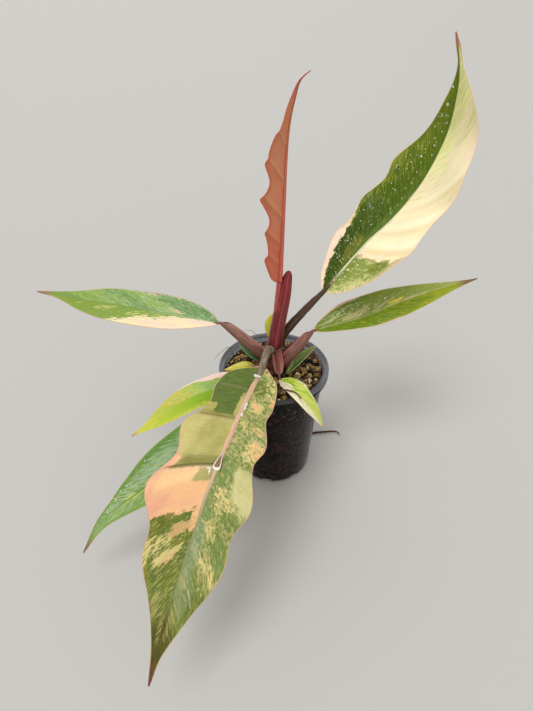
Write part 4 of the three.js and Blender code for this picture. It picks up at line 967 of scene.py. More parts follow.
def ribMaterial(key, look):
    settings = {"Roughness": 0.34, "Coat Weight": 0.25, "Coat Roughness": 0.2}
    material, tree = newMaterial(key + "Midrib", settings)
    skin = readAttribute(tree, "skin")
    along = splitVector(tree, skin)[2]
    ribFade = stepBetween(tree, along, *look.get("ribFade", rib["fade"]))
    colour = mixColours(tree, ribFade, *coloursOf(look["rib"]))
    tipCode, tipStart = look["tip"]
    tip = stepBetween(tree, along, tipStart - rib["tipFade"], tipStart)
    colour = mixColours(tree, tip, colour, linearOf(tipCode))
    if "ribStart" in look:
        startCode, startEnd = look["ribStart"]
        start = stepBetween(tree, along, startEnd, startEnd * rib["startFade"])
        colour = mixColours(tree, start, colour, linearOf(startCode))
    lines, between = patternAt(tree, skin, rib["lines"])
    darker = mixColours(tree, rib["darkShare"], colour, rib["dark"])
    colour = mixColours(tree, between, darker, colour)
    return finishMaterial(material, colour, lines, rib["bump"])


def addBlade(key, shape, look):
    piece, x, t = addGrid(key + "Blade", shape["columns"], shape["rows"])
    s = np.sign(x) * np.abs(x) ** blade["columnPower"]
    surface = bladeSurface(shape, t, s)
    movePoints(piece, surface["points"])
    steepness = veinSteepness(shape)
    across = surface["width"] * s
    veinPlace = [across * steepness, surface["vein"] / steepness, np.sign(s) * blade["halfGap"]]
    storeAttribute(piece, "veinPlace", np.stack(veinPlace, -1))
    storeAttribute(piece, "leafPlace", np.stack([across, surface["width"] * (1 - np.abs(s)), t], -1))
    for name, layer in look["layers"].items():
        storeAttribute(piece, name, markField(shape, surface, t, s, layer["marks"]))
    piece.data.materials.append(leafMaterial(key, look, shape))
    piece.data.materials.append(leafMaterial(key, look, shape, under=True))
    finishSheet(piece, blade["thickness"], underSlot=1)
    return piece


def addMidrib(key, shape, look):
    line = lineThrough(shape["path"])
    stops = np.linspace(0, 1, rib["stops"])
    tangent = tangentAt(line, stops)
    normal = unit(np.cross(unit(np.cross(tangent, faceAt(shape, stops))), tangent))
    drop = spreadAt(shape["rib"], stops) * (rib["flatness"] - rib["rise"])
    path = pointAt(line, stops) - normal * drop[:, None]
    piece = addTube(key + "Rib", path, shape["rib"], normal[rib["stops"] // 2], sides=rib["sides"],
                    rows=rib["rows"], flatten=rib["flatness"])
    piece.data.materials.append(ribMaterial(key, look))
    return piece


leafShapes = {key: {**plainLeaf, **shape} for key, shape in leafShapes.items()}
for key, shape in leafShapes.items():
    look = leafLooks[key]
    whole = joinPieces([addBlade(key, shape, look), addMidrib(key, shape, look)], key + "Leaf")
    finishPiece(whole, [key + "_blade"])
print("leaf blades are made")

# Stalks: round ones, and the winged sheaths that wrap some of them. Radii run from base to tip, up is
# the side that a stalk's groove is on, and the colours are its base, its tip and the dark in its lines.
# bloom is where whitish patches begin and rim the place of a painted highlight across the crest of the
# stalk's bend. runsUnder is how a stalk runs on below its blade, so that it thins out into the midrib.

plainStalk = {"groove": 0.1, "runsOn": True}

stalkShapes = {
    "front": {
        "path": [(-1, -3, 138), (-3, -12, 151), (-5.2, -23, 160.5), (-8, -39, 165.5), (-10.9, -55.6, 166.1)],
        "radius": [4.6, 4.0, 3.7, 3.3, 2.9], "up": (0, 0.3, 1),
        "colours": ("765e46", "887658", "503e2e"), "slot": "green_stalk", "groove": 0.16,
        "bloom": 0.55, "rim": 0.35,
    },
    "upper_right": {
        "path": [(1, 2, 138), (9, 3, 159), (27, 9, 180), (43.7, 14.8, 196.6)],
        "radius": [4.4, 4.0, 3.7, 3.2], "up": (-0.5, -0.5, 1),
        "colours": ("4c3a22", "60442a", "362616"), "slot": "green_stalk", "groove": 0.14,
    },
    "right": {
        "path": [(3, -5, 128), (9, -11, 139), (20, -8, 152), (31, -3.5, 164), (34.7, -1.2, 164.8)],
        "radius": [3.2, 3.0, 2.6, 2.1, 1.8], "up": (-0.3, 0, 1),
        "colours": ("8a5648", "96604c", "6d3a34"), "slot": "winged_stalk",
    },
    "left": {
        "path": [(-2, -3, 136), (-12, -7.5, 144), (-28, -4, 158), (-45, 0, 171), (-48.7, 0.9, 170.8)],
        "radius": [3.2, 3.0, 2.6, 2.1, 1.8], "up": (0.3, 0, 1),
        "colours": ("84604c", "8d6a50", "6d3a34"), "slot": "winged_stalk",
    },
    "lower_left": {
        "path": [(-2, -4, 126), (-10, -16, 138), (-19, -31, 147), (-25.8, -42.8, 149.7)],
        "radius": [3.4, 3.0, 2.4, 1.8], "up": (0.2, 0.2, 1),
        "colours": ("8a5a4a", "9a8256", "6d3a34"), "slot": "winged_stalk",
    },
    "hanging_left": {
        "path": [(-1, -4, 120), (-6, -20, 132), (-13, -36, 139.5), (-19.8, -48.8, 140)],
        "radius": [3.4, 3.0, 2.6, 2.0], "up": (0.2, 0.2, 1),
        "colours": ("8a5a4a", "8f7a54", "6d3a34"), "slot": "winged_stalk",
    },
    "new": {
        "path": [(1.5, -1.5, 149.4), (1.6, -1.2, 165), (2, -1, 188), (3.6, 0, 212.6)],
        "radius": [3.0, 2.8, 2.5, 2.1], "up": (1, 0, 0),
        "colours": ("b5483c", "cc6a5a", "8f3a38"), "slot": "red_new_leaf", "runsOn": False,
    },
    "small_back": {
        "path": [(0, 2, 131), (0.5, 6, 136), (0.8, 8.8, 142.7)],
        "radius": [2.4, 2.0, 1.4], "up": (0, -1, 0.5),
        "colours": ("8a7a40", "a3a040", "6a5a38"), "slot": "yellow_leaf",
    },
    "small_left": {
        "path": [(-2, -1, 125), (-8, -4, 129), (-11.8, -5.9, 134.7)],
        "radius": [2.2, 1.7, 1.3], "up": (0, -0.3, 1),
        "colours": ("6a6a40", "5c7a44", "5a4a38"), "slot": "small_green_leaf",
    },
    "small_front_left": {
        "path": [(-2, -3, 117), (-8, -10, 123), (-12.8, -13.9, 130.7)],
        "radius": [2.2, 1.7, 1.3], "up": (0, -0.3, 1),
        "colours": ("8a8040", "b0a83e", "6a5a38"), "slot": "yellow_leaf",
    },
    "small_right": {
        "path": [(2, -3, 116), (7, -11, 121), (10.8, -16.3, 128.7)],
        "radius": [2.2, 1.7, 1.3], "up": (0, -0.3, 1),
        "colours": ("6a6a40", "6f8040", "5a4a38"), "slot": "small_green_leaf",
    },
    "small_front": {
        "path": [(1, -4, 145), (2, -13, 147), (3, -26, 144), (4.8, -36.8, 140.1)],
        "radius": [2.4, 2.0, 1.6, 1.4], "up": (0, 0, 1),
        "colours": ("80504a", "8a5a50", "643638"), "slot": "winged_stalk",
    },
}

# A sheath is open towards one side, by open degrees and flare more at its tip. spoon is how much
# shorter its edges are than its peak, and its colours are the outer side, the middle and the free rims.

plainSheath = {
    "wall": 1.1, "thickness": 0.7, "columns": 22, "rows": 46,
    "peak": 0, "tipPower": 4, "flarePower": 6, "rimSwell": 0.06, "swellPower": 6,
    "keel": 0.0, "keelPlace": 0.22, "keelWidth": 0.035,
    # baseShade is how strongly painted shade darkens a sheath towards its base at the crown
    "roughness": 0.34, "coat": 0.3, "baseShade": 0.7,
}

sheathShapes = {
    "right": {
        "path": [(4, -6, 130), (10, -11, 141), (21, -8, 154), (31, -4, 166.5)],
        "radius": [5.0, 5.6, 5.0, 3.6], "open": 46, "flare": 60, "towards": (-0.5, 0.5, 0.9), "spoon": 0.12,
        "colours": ("7a5640", "8a4246", "ac6468"),
    },
    "left": {
        "path": [(-3, -3.5, 138), (-12, -7.5, 146), (-28, -4, 160), (-44, 0, 173.5)],
        "radius": [5.0, 5.6, 5.0, 3.8], "open": 46, "flare": 60, "towards": (0.5, 0.5, 0.9), "spoon": 0.12,
        "colours": ("84604e", "7c4640", "b07c74"),
    },
    "small_front": {
        "path": [(1, -5, 147), (2, -13, 150.5), (3, -24, 148.5), (4.4, -33, 144)],
        "radius": [3.0, 4.1, 4.6, 3.4], "open": 150, "flare": 20, "towards": (0.1, -0.3, 1), "spoon": 0.32,
        "colours": ("b87c68", "b07a64", "b0606a"), "baseShade": 0.3,
    },
}

bractShape = {
    "path": [(0.5, -2, 149.4), (2.2, -1, 164), (5, 0, 182), (8, 0.5, 200), (11.2, 2, 223.5)],
    "radius": [6.6, 6.4, 6.0, 5.2, 3.2], "open": 66, "flare": 40, "towards": (-0.6, 0.9, 0), "spoon": 0.3,
    "columns": 56, "rows": 70, "peak": -0.28, "tipPower": 2.4, "keel": 0.07,
    "colours": ("7c1418", "84181e", "a44854"), "roughness": 0.26, "coat": 0.25,
}

runsUnder = {"places": (6.0, 12.0), "fullLength": 120, "sinks": (0.7, 1.2), "radii": (1.05, 0.8)}

stalkPaint = {
    "tipFade": (0.1, 0.9),
    "lines": {"scale": 1.0, "detail": 4, "roughness": 0.6, "stretch": (1.5, 0.05, 0.0),
              "range": (0.62, 0.4)},
    "blotches": {"scale": 1.0, "stretch": (0.25, 0.09, 0.0), "range": (0.5, 0.7)}, "blotchShare": 0.5,
    "specks": {"scale": 1.7, "detail": 1, "stretch": (1.0, 0.55, 0.0), "range": (0.74, 0.78)},
    "speck": (0.8, 0.72, 0.6, 1), "speckShare": 0.5,
    "patches": {"scale": 1.0, "detail": 5, "stretch": (0.8, 0.07, 0.0), "range": (0.46, 0.64)},
    "bloom": "d0c8b8", "bloomShare": 0.5, "bloomFade": 0.2,
    # rim is the colour of the painted highlight across a stalk's bend
    "rim": "e6e0d4", "crestHighlightWidth": (0.016, 0.006), "bump": (0.5, 0.3),
}

sheathPaint = {
    # base is the colour of the painted shade near a sheath's base
    "outerFade": (0.16, 0.4), "base": "60282a", "baseShadeFade": (0.75, 0.05),
    "ribs": {"scale": 1.0, "detail": 3, "roughness": 0.6, "stretch": (1.1, 0.03, 0.0),
             "range": (0.6, 0.42)},
    "dark": (0.06, 0.01, 0.01, 1), "darkShare": 0.42,
    "blush": {"scale": 1.0, "stretch": (0.2, 0.06, 0.0), "range": (0.45, 0.7)}, "blushShare": 0.35,
    "rimFade": (0.8, 0.97), "keelHighlightShare": 0.6,
    "specks": {"scale": 1.5, "detail": 1, "stretch": (1.0, 0.7, 0.0), "range": (0.75, 0.79)},
    "speck": (0.85, 0.7, 0.65, 1), "speckShare": 0.45, "bump": (0.5, 0.4),
}


def stalkMaterial(key, shape, roughness=0.38, coat=0.1):
    # a base colour that changes towards the tip, with long lines, blotches and tiny pale specks
    settings = {
        "Roughness": roughness, "Coat Weight": coat, "Coat Roughness": 0.22, "Specular IOR Level": 0.25,
        "Subsurface Weight": 0.06, "Subsurface Radius": (1.0, 0.4, 0.2), "Subsurface Scale": 0.001,
    }
    material, tree = newMaterial(key + "Skin", settings)
    skin = readAttribute(tree, "skin")
    along = splitVector(tree, skin)[2]
    base, tip, dark = coloursOf(shape["colours"])
    colour = mixColours(tree, stepBetween(tree, along, *stalkPaint["tipFade"]), base, tip)
    lines, darkLines = patternAt(tree, skin, stalkPaint["lines"])
    colour = mixColours(tree, darkLines, colour, dark)
    blotches = times(tree, patternAt(tree, skin, stalkPaint["blotches"])[1], stalkPaint["blotchShare"])
    colour = mixColours(tree, blotches, colour, dark)
    pale = mixColours(tree, stalkPaint["speckShare"], colour, stalkPaint["speck"])
    colour = mixColours(tree, patternAt(tree, skin, stalkPaint["specks"])[1], colour, pale)
    if shape.get("bloom"):
        patches = patternAt(tree, skin, stalkPaint["patches"])[1]
        fade = stalkPaint["bloomFade"]
        start = stepBetween(tree, along, shape["bloom"] - fade, shape["bloom"] + fade)
        bloom = times(tree, patches, start, stalkPaint["bloomShare"])
        colour = mixColours(tree, bloom, colour, linearOf(stalkPaint["bloom"]))
    # a painted highlight across the stalk at rim, where it bends over
    if shape.get("rim"):
        off = doMath(tree, "ABSOLUTE", minus(tree, along, shape["rim"]))
        crestHighlight = stepBetween(tree, off, *stalkPaint["crestHighlightWidth"])
        colour = mixColours(tree, crestHighlight, colour, linearOf(stalkPaint["rim"]))
    return finishMaterial(material, colour, lines, stalkPaint["bump"])


def sheathMaterial(key, shape):
    # ribbed along its length, with its own colour towards the two free rims, painted shade towards its base
    # and a painted highlight on its keels
    settings = {
        "Roughness": shape["roughness"], "Coat Weight": shape["coat"], "Coat Roughness": 0.18,
        "Specular IOR Level": 0.3, "Subsurface Weight": 0.1, "Subsurface Radius": (1.0, 0.3, 0.2),
        "Subsurface Scale": 0.001,
    }
    material, tree = newMaterial(key + "Sheath", settings)
    skin = readAttribute(tree, "skin")
    towardsRim, along, keels = splitVector(tree, readAttribute(tree, "rimPlace"))
    outer, middle, rim = coloursOf(shape["colours"])
    colour = mixColours(tree, stepBetween(tree, towardsRim, *sheathPaint["outerFade"]), middle, outer)
    # painted shade towards the base, where the sheath meets the crown
    paintedBaseShade = times(tree, stepBetween(tree, along, *sheathPaint["baseShadeFade"]), shape["baseShade"])
    colour = mixColours(tree, paintedBaseShade, colour, linearOf(sheathPaint["base"]))
    ribs, darkRibs = patternAt(tree, skin, sheathPaint["ribs"])
    shade = mixColours(tree, sheathPaint["darkShare"], colour, sheathPaint["dark"])
    colour = mixColours(tree, darkRibs, colour, shade)
    blush = times(tree, patternAt(tree, skin, sheathPaint["blush"])[1], sheathPaint["blushShare"])
    colour = mixColours(tree, blush, colour, rim)
    colour = mixColours(tree, stepBetween(tree, towardsRim, *sheathPaint["rimFade"]), colour, rim)
    # a painted highlight along the keel crests
    colour = mixColours(tree, times(tree, keels, sheathPaint["keelHighlightShare"]), colour, rim)
    pale = mixColours(tree, sheathPaint["speckShare"], colour, sheathPaint["speck"])
    colour = mixColours(tree, patternAt(tree, skin, sheathPaint["specks"])[1], colour, pale)
    return finishMaterial(material, colour, ribs, sheathPaint["bump"])


def addSheath(name, shape, material):
    piece, x, y = addGrid(name, shape["columns"], shape["rows"])
    line = lineThrough(shape["path"])
    t = y * (1 - shape["spoon"] * np.abs(x - shape["peak"]) ** shape["tipPower"])
    centre, side, upward = frameAlong(line, shape["towards"], t)
    opening = shape["open"] + shape["flare"] * t ** shape["flarePower"]
    halfArc = math.pi - np.radians(opening / 2)
    angle = -math.pi / 2 + halfArc * x
    radius = spreadAt(shape["radius"], t) - shape["wall"] / 2
    keels = np.exp(-((np.abs(x) - shape["keelPlace"]) / shape["keelWidth"]) ** 2) * (shape["keel"] > 0)
    swell = shape["rimSwell"] * np.abs(x) ** shape["swellPower"]
    radius = radius * (1 + swell + shape["keel"] * keels)
    points = centre + side * (radius * np.cos(angle))[:, None] + upward * (radius * np.sin(angle))[:, None]
    movePoints(piece, points)
    storeAttribute(piece, "skin", np.stack([x * halfArc * radius, y * line[1][-1], y], -1))
    storeAttribute(piece, "rimPlace", np.stack([np.abs(x), y, keels], -1))
    piece.data.materials.append(material)
    finishSheet(piece, shape["thickness"])
    return piece


def stalkCourse(key, shape):
    # the stalk's path and radii, run on under its blade
    if not shape["runsOn"]:
        return shape["path"], shape["radius"]
    leaf = leafShapes[key]
    line = lineThrough(leaf["path"])
    length, thickness = line[1][-1], leaf["rib"][0]
    places = np.array(runsUnder["places"]) * min(1, length / runsUnder["fullLength"]) / length
    centre, _, upward = frameAlong(line, leaf["face"][0], places)
    sunk = centre - upward * thickness * np.array(runsUnder["sinks"])[:, None]
    return [*shape["path"], *sunk], shape["radius"] + [thickness * share for share in runsUnder["radii"]]


# A strip of skin that has torn open on the front midrib, with white edges

tornShape = {
    "leaf": "front", "from": 0.325, "to": 0.38, "lift": 0.8,
    "radius": [0.5, 1.8, 2.8, 3.3], "open": 220, "flare": 0, "spoon": 0.1, "thickness": 0.35,
    "columns": 16, "rows": 20, "colours": ("7a5832", "9a7a50", "f4f0e6"),
    "grain": {"scale": 1.0, "detail": 4, "roughness": 0.6, "stretch": (1.4, 0.4, 0.0),
              "range": (0.35, 0.65)},
    "edgeStray": 0.5, "tipEdge": 0.12, "edgeFade": (0.68, 0.8), "bump": (0.6, 0.3),
}


def tornMaterial():
    material, tree = newMaterial("tornSkin", {"Roughness": 0.6, "Specular IOR Level": 0.3})
    skin = readAttribute(tree, "skin")
    towardsRim, along, _ = splitVector(tree, readAttribute(tree, "rimPlace"))
    dark, light, edge = coloursOf(tornShape["colours"])
    grain, lightGrain = patternAt(tree, skin, tornShape["grain"])
    colour = mixColours(tree, lightGrain, dark, light)
    stray = times(tree, minus(tree, grain, 0.5), tornShape["edgeStray"])
    outside = doMath(tree, "MAXIMUM", towardsRim, minus(tree, along, tornShape["tipEdge"]))
    outside = stepBetween(tree, doMath(tree, "ADD", outside, stray), *tornShape["edgeFade"])
    return finishMaterial(material, mixColours(tree, outside, colour, edge), grain, tornShape["bump"])


def addTornSkin():
    leaf = leafShapes[tornShape["leaf"]]
    stops = np.linspace(tornShape["from"], tornShape["to"], len(tornShape["radius"]))
    centre, _, upward = frameAlong(lineThrough(leaf["path"]), faceAt(leaf, stops)[0], stops)
    path = centre + upward * (np.array(tornShape["radius"])[:, None] + tornShape["lift"])
    return addSheath("tornSkin", {**plainSheath, **tornShape, "path": path, "towards": upward[1]},
                     tornMaterial())


finishPiece(addTornSkin())

for key, shape in stalkShapes.items():
    shape = {**plainStalk, **shape}
    path, radii = stalkCourse(key, shape)
    stalk = addTube(key + "Stalk", path, radii, shape["up"], sides=20, rows=56, groove=shape["groove"],
                    wander=0.02, seed=len(key))
    stalk.data.materials.append(stalkMaterial(key, shape))
    if key in sheathShapes:
        wingShape = {**plainSheath, **sheathShapes[key]}
        wings = addSheath(key + "Wings", wingShape, sheathMaterial(key, wingShape))
        stalk = joinPieces([stalk, wings], key + "Stalk")
    finishPiece(stalk, [key + "_stalk"])

bractShape = {**plainSheath, **bractShape}
finishPiece(addSheath("crimsonBract", bractShape, sheathMaterial("bract", bractShape)),
            ["new_bract"])
print("stalks and sheaths are made")

# The stem: a short column that swells at each ring where an older leaf has dropped

stemShape = {
    "path": [(0, 0, 88), (0, -1, 118.5), (0, -2, 149)],
    "rootRadius": 6.0, "crownRadius": 7.5, "taper": 1.6, "rings": 4, "ringHeight": 0.7, "ringTurns": 64,
    "colours": ("6b5240", "4c3526", "8d7a58"),
    "grain": {"scale": 1.0, "detail": 5, "roughness": 0.65, "stretch": (0.9, 0.12, 0.0),
              "range": (0.35, 0.65)},
    "scars": {"scale": 1.0, "stretch": (0.04, 0.8, 0.0), "range": (0.62, 0.7)}, "bump": (0.8, 0.6),
}


def stemMaterial():
    material, tree = newMaterial("stemBark", {"Roughness": 0.72})
    skin = readAttribute(tree, "skin")
    light, dark, scar = coloursOf(stemShape["colours"])
    grain, lightGrain = patternAt(tree, skin, stemShape["grain"])
    colour = mixColours(tree, lightGrain, dark, light)
    colour = mixColours(tree, patternAt(tree, skin, stemShape["scars"])[1], colour, scar)
    return finishMaterial(material, colour, grain, stemShape["bump"])


def stemRadii():
    t = np.linspace(0, 1, stemShape["ringTurns"] + 1)
    swell = (stemShape["crownRadius"] - stemShape["rootRadius"]) * np.minimum(1, stemShape["taper"] * t)
    ring = np.maximum(0, np.cos(2 * math.pi * stemShape["rings"] * t)) ** 2
    return stemShape["rootRadius"] + swell + stemShape["ringHeight"] * ring


stem = addTube("ringedStem", stemShape["path"], stemRadii(), (0, 1, 0), sides=28, rows=90, wander=0.012)
stem.data.materials.append(stemMaterial())
finishPiece(stem, ["stem"])

# The pot: turned from a circle by extruding it ring by ring

potShape = {
    "height": 124, "rimRadius": 50, "rimDrop": 5.5, "rimThickness": 1.3, "rimRounding": 1.0, "lipDepth": 1.5,
    "wallTopRadius": 45.6, "baseRadius": 37, "baseEdge": 5, "wall": 1.2, "neck": 0.6, "bevel": 0.4,
    "mouth": (1.2, 0.3, 0.35), "sides": 112, "edgeSteps": 5, "rimSteps": 4,
    "drains": 8, "drainWidth": 9, "drainHeight": 6, "drainDepth": 9, "firstDrain": 35, "sharpAngle": 40,
}

smokyLook = {
    "colours": ("7c7e82", "96989c"), "roughness": (0.1, 0.26),
    "haze": {"scale": 55.0, "detail": 4, "roughness": 0.6, "range": (0.2, 0.9)},
    "scuffs": {"scale": 320.0, "stretch": (1.0, 1.0, 0.25)}, "bump": (0.12, 0.15),
    "wallClearness": 1.0, "lipClearness": 0.7,
}


def arcRing(radius, height, bend, start, end, steps):
    angles = [math.radians(start + (end - start) * k / steps) for k in range(steps + 1)]
    return [(radius + bend * math.cos(a), height + bend * math.sin(a)) for a in angles]


def potProfile():
    # (radius, height) of each ring, up the outside, round the rim and down the inside
    p = potShape
    foot = p["baseRadius"] - p["baseEdge"]
    underRim = p["height"] - p["rimThickness"]
    innerRim = p["rimRadius"] - p["rimThickness"]
    half = p["rimThickness"] / 2
    inner = p["wallTopRadius"] - p["wall"]
    spread, mouth, drop = p["mouth"]
    return [
        *arcRing(foot, p["baseEdge"], p["baseEdge"], -90, 0, p["edgeSteps"]),
        (p["wallTopRadius"], underRim - p["neck"]), (p["wallTopRadius"] + p["neck"], underRim),
        (innerRim - p["bevel"], underRim), (innerRim, underRim - p["bevel"]),
        *arcRing(p["rimRadius"] - half, p["height"] - p["rimDrop"] + half, half, 180, 360, p["rimSteps"]),
        *arcRing(p["rimRadius"] - p["rimRounding"], p["height"] - p["rimRounding"], p["rimRounding"], 0, 90,
                 p["rimSteps"]),
        (inner + spread, p["height"]), (inner + mouth, p["height"] - drop), (inner, underRim - p["bevel"]),
        *arcRing(foot, p["baseEdge"], p["baseEdge"] - p["wall"], 0, -90, p["edgeSteps"]),
    ]


def smokyPlastic(name, clearness):
    settings = {"IOR": 1.2, "Transmission Weight": clearness, "Specular IOR Level": 0.2}
    material, tree = newMaterial(name, settings)
    place = objectPlace(tree)
    haze, dull = patternAt(tree, place, smokyLook["haze"])
    colour = mixColours(tree, haze, *coloursOf(smokyLook["colours"]))
    scuffs = noiseAt(tree, place, **smokyLook["scuffs"])
    smoothest, roughest = smokyLook["roughness"]
    rough = doMath(tree, "ADD", times(tree, dull, roughest - smoothest), smoothest)
    return finishMaterial(material, colour, scuffs, smokyLook["bump"], roughness=rough)


def addPot():
    profile = potProfile()
    deselectAll()
    radius, height = profile[0]
    bpy.ops.mesh.primitive_circle_add(vertices=potShape["sides"], radius=radius * mm, fill_type="NGON",
                                      location=(0, 0, height * mm))
    pot = bpy.context.object
    bpy.ops.object.transform_apply(location=True, rotation=True, scale=True)
    pot.name = "nurseryPot"
    bpy.ops.object.mode_set(mode="EDIT")
    bpy.ops.mesh.select_all(action="SELECT")
    for newRadius, newHeight in profile[1:]:
        rise = (newHeight - height) * mm
        bpy.ops.mesh.extrude_region_move(TRANSFORM_OT_translate={"value": (0, 0, rise)})
        share = newRadius / radius
        bpy.ops.transform.resize(value=(share, share, 1), center_override=(0, 0, newHeight * mm))
        radius, height = newRadius, newHeight
    bpy.ops.mesh.select_all(action="SELECT")
    bpy.ops.mesh.normals_make_consistent(inside=False)
    bpy.ops.object.mode_set(mode="OBJECT")
    cutDrains(pot)
    # the lip is a material of its own, because thick plastic is less clear
    pot.data.materials.append(smokyPlastic("smokyPlastic", smokyLook["wallClearness"]))
    pot.data.materials.append(smokyPlastic("thickRimPlastic", smokyLook["lipClearness"]))
    for face in pot.data.polygons:
        face.material_index = int(face.center.z > (potShape["height"] - potShape["lipDepth"]) * mm)
    shadeSmooth(pot, potShape["sharpAngle"])
    return pot


def cutDrains(pot):
    size = Vector((potShape["drainDepth"], potShape["drainWidth"], potShape["drainHeight"])) * mm
    cutters = []
    for k in range(potShape["drains"]):
        angle = math.radians(potShape["firstDrain"] + 360 * k / potShape["drains"])
        deselectAll()
        bpy.ops.mesh.primitive_cube_add(size=1)
        cutter = bpy.context.object
        turn = Matrix.Rotation(angle, 4, "Z")
        place = turn @ Matrix.Translation((potShape["baseRadius"] * mm, 0, size.z / 2))
        cutter.data.transform(place @ Matrix.Diagonal((*size, 1)))
        cutters.append(cutter)
    cutter = joinPieces(cutters, "drainCutter")
    modifier = pot.modifiers.new("drains", "BOOLEAN")
    modifier.object = cutter
    modifier.solver = "EXACT"
    applyModifiers(pot)
    bpy.data.objects.remove(cutter)


pot = addPot()
finishPiece(pot, ["pot"])
print("pot is made")

# The potting mix: a dark body that fills the pot, and chunks of bark and pumice on its top. turns gives
# each bend of the body's outline its share of the grid, and waves are the ups and downs of its top.

mixShape = {
    "level": 118, "dome": 2.5, "gap": 0.3, "foot": 3.5, "shoulder": 0.4, "around": 128, "along": 96,
    "turns": {"foot": 0.12, "wall": 0.16, "top": 0.5, "dome": 0.52}, "domeSteps": 8, "edgeDrop": 1,
    "waves": 14, "waveTurns": 0.55, "wavePhase": 6.3, "waveHeight": 0.308, "calmEdge": (0.01, 0.04),
    "pieces": 560, "seed": 5, "reach": 43.4, "clearance": 0.75, "stemRadius": 8, "spin": 6.28,
    "models": 5, "brokenness": 0.26, "lumpSizes": ((1.25, -0.12), (0.8, 0.08), (0.62, 0.05)),
    "sharpAngle": 38,
    "kinds": [
        {"name": "goldenBark", "share": 0.28, "size": (1.5, 4.4), "lift": (0.0, 0.6),
         "colours": ("98783c", "dab26a", "2e200c")},
        {"name": "paleBark", "share": 0.12, "size": (0.9, 2.8), "lift": (0.3, 0.9),
         "colours": ("fff4d0", "e4d49a", "8c7040")},
        {"name": "redBark", "share": 0.2, "size": (1.2, 3.2), "lift": (-0.2, 0.5),
         "colours": ("4a2416", "6a3820", "1e0c08")},
        {"name": "darkPeat", "share": 0.44, "size": (1.4, 3.8), "lift": (-0.4, 0.4),
         "colours": ("140d09", "2a1c12", "080504")},
    ],
}

# sideRoots are the strands that show through the wall, dark brown at its top and light reddish further down;
# the lighter tone lower down is partly the roots' own colour and partly painted light where less light comes
# through the wall
soilLook = {
    "top": ("0c0806", "3c2016"), "topHeights": (0.1165, 0.118),
    "lumps": {"scale": 260.0, "detail": 5, "roughness": 0.7, "range": (0.4, 0.7)},
    "side": "0e0807", "sideRoots": ("5c4a3c", "e88c7c"), "paintedLightHeights": (0.112, 0.06),
    "strands": {"scale": 190.0, "detail": 5, "roughness": 0.8, "range": (0.47, 0.6)},
    "crumb": "c4986c", "crumbScale": 330.0, "crumbShare": (0.8, 0.86), "crumbEdge": (0.5, 0.3),
    "bump": (1.0, 1.5),
}

chunkLook = {
    "patches": {"scale": 190.0, "range": (0.35, 0.65)},
    "grain": {"scale": 700.0, "detail": 4, "roughness": 0.65, "stretch": (1.0, 0.5, 2.0),
              "range": (0.6, 0.42)},
    "toneRange": (0.55, 0.0), "toneShare": 0.7, "bump": (0.7, 0.5),
}


def mixHeight(r):
    share = r / (potShape["wallTopRadius"] - potShape["wall"])
    return mixShape["level"] + mixShape["dome"] * (1 - share ** 2)


def soilMaterial():
    material, tree = newMaterial("darkPottingMix", {"Roughness": 0.92, "Specular IOR Level": 0.25})
    place = objectPlace(tree)
    height = splitVector(tree, place)[2]
    strands = patternAt(tree, place, soilLook["strands"])[1]
    depth = stepBetween(tree, height, *soilLook["paintedLightHeights"])
    roots = mixColours(tree, depth, *coloursOf(soilLook["sideRoots"]))
    side = mixColours(tree, strands, linearOf(soilLook["side"]), roots)
    lumps, highLumps = patternAt(tree, place, soilLook["lumps"])
    top = mixColours(tree, highLumps, *coloursOf(soilLook["top"]))
    colour = mixColours(tree, stepBetween(tree, height, *soilLook["topHeights"]), side, top)
    crumbs = addNode(tree, "TexVoronoi", {"Vector": place, "Scale": soilLook["crumbScale"]})
    chance = addNode(tree, "SeparateColor", {0: crumbs.outputs["Color"]}).outputs[0]
    bits = stepBetween(tree, chance, *soilLook["crumbShare"])
    near = stepBetween(tree, crumbs.outputs["Distance"], *soilLook["crumbEdge"])
    colour = mixColours(tree, times(tree, bits, near), colour, linearOf(soilLook["crumb"]))
    return finishMaterial(material, colour, lumps, soilLook["bump"])


def chunkMaterial(kind):
    # two tones in patches, a dark grain, and some chunks darker than others
    material, tree = newMaterial(kind["name"] + "Skin", {"Roughness": 0.8, "Specular IOR Level": 0.35})
    place = objectPlace(tree)
    first, second, dark = coloursOf(kind["colours"])
    colour = mixColours(tree, patternAt(tree, place, chunkLook["patches"])[1], first, second)
    grain, darkGrain = patternAt(tree, place, chunkLook["grain"])
    colour = mixColours(tree, darkGrain, colour, dark)
    tone = stepBetween(tree, readAttribute(tree, "tone", "Fac"), *chunkLook["toneRange"])
    colour = mixColours(tree, times(tree, tone, chunkLook["toneShare"]), colour, dark)
    return finishMaterial(material, colour, grain, chunkLook["bump"])


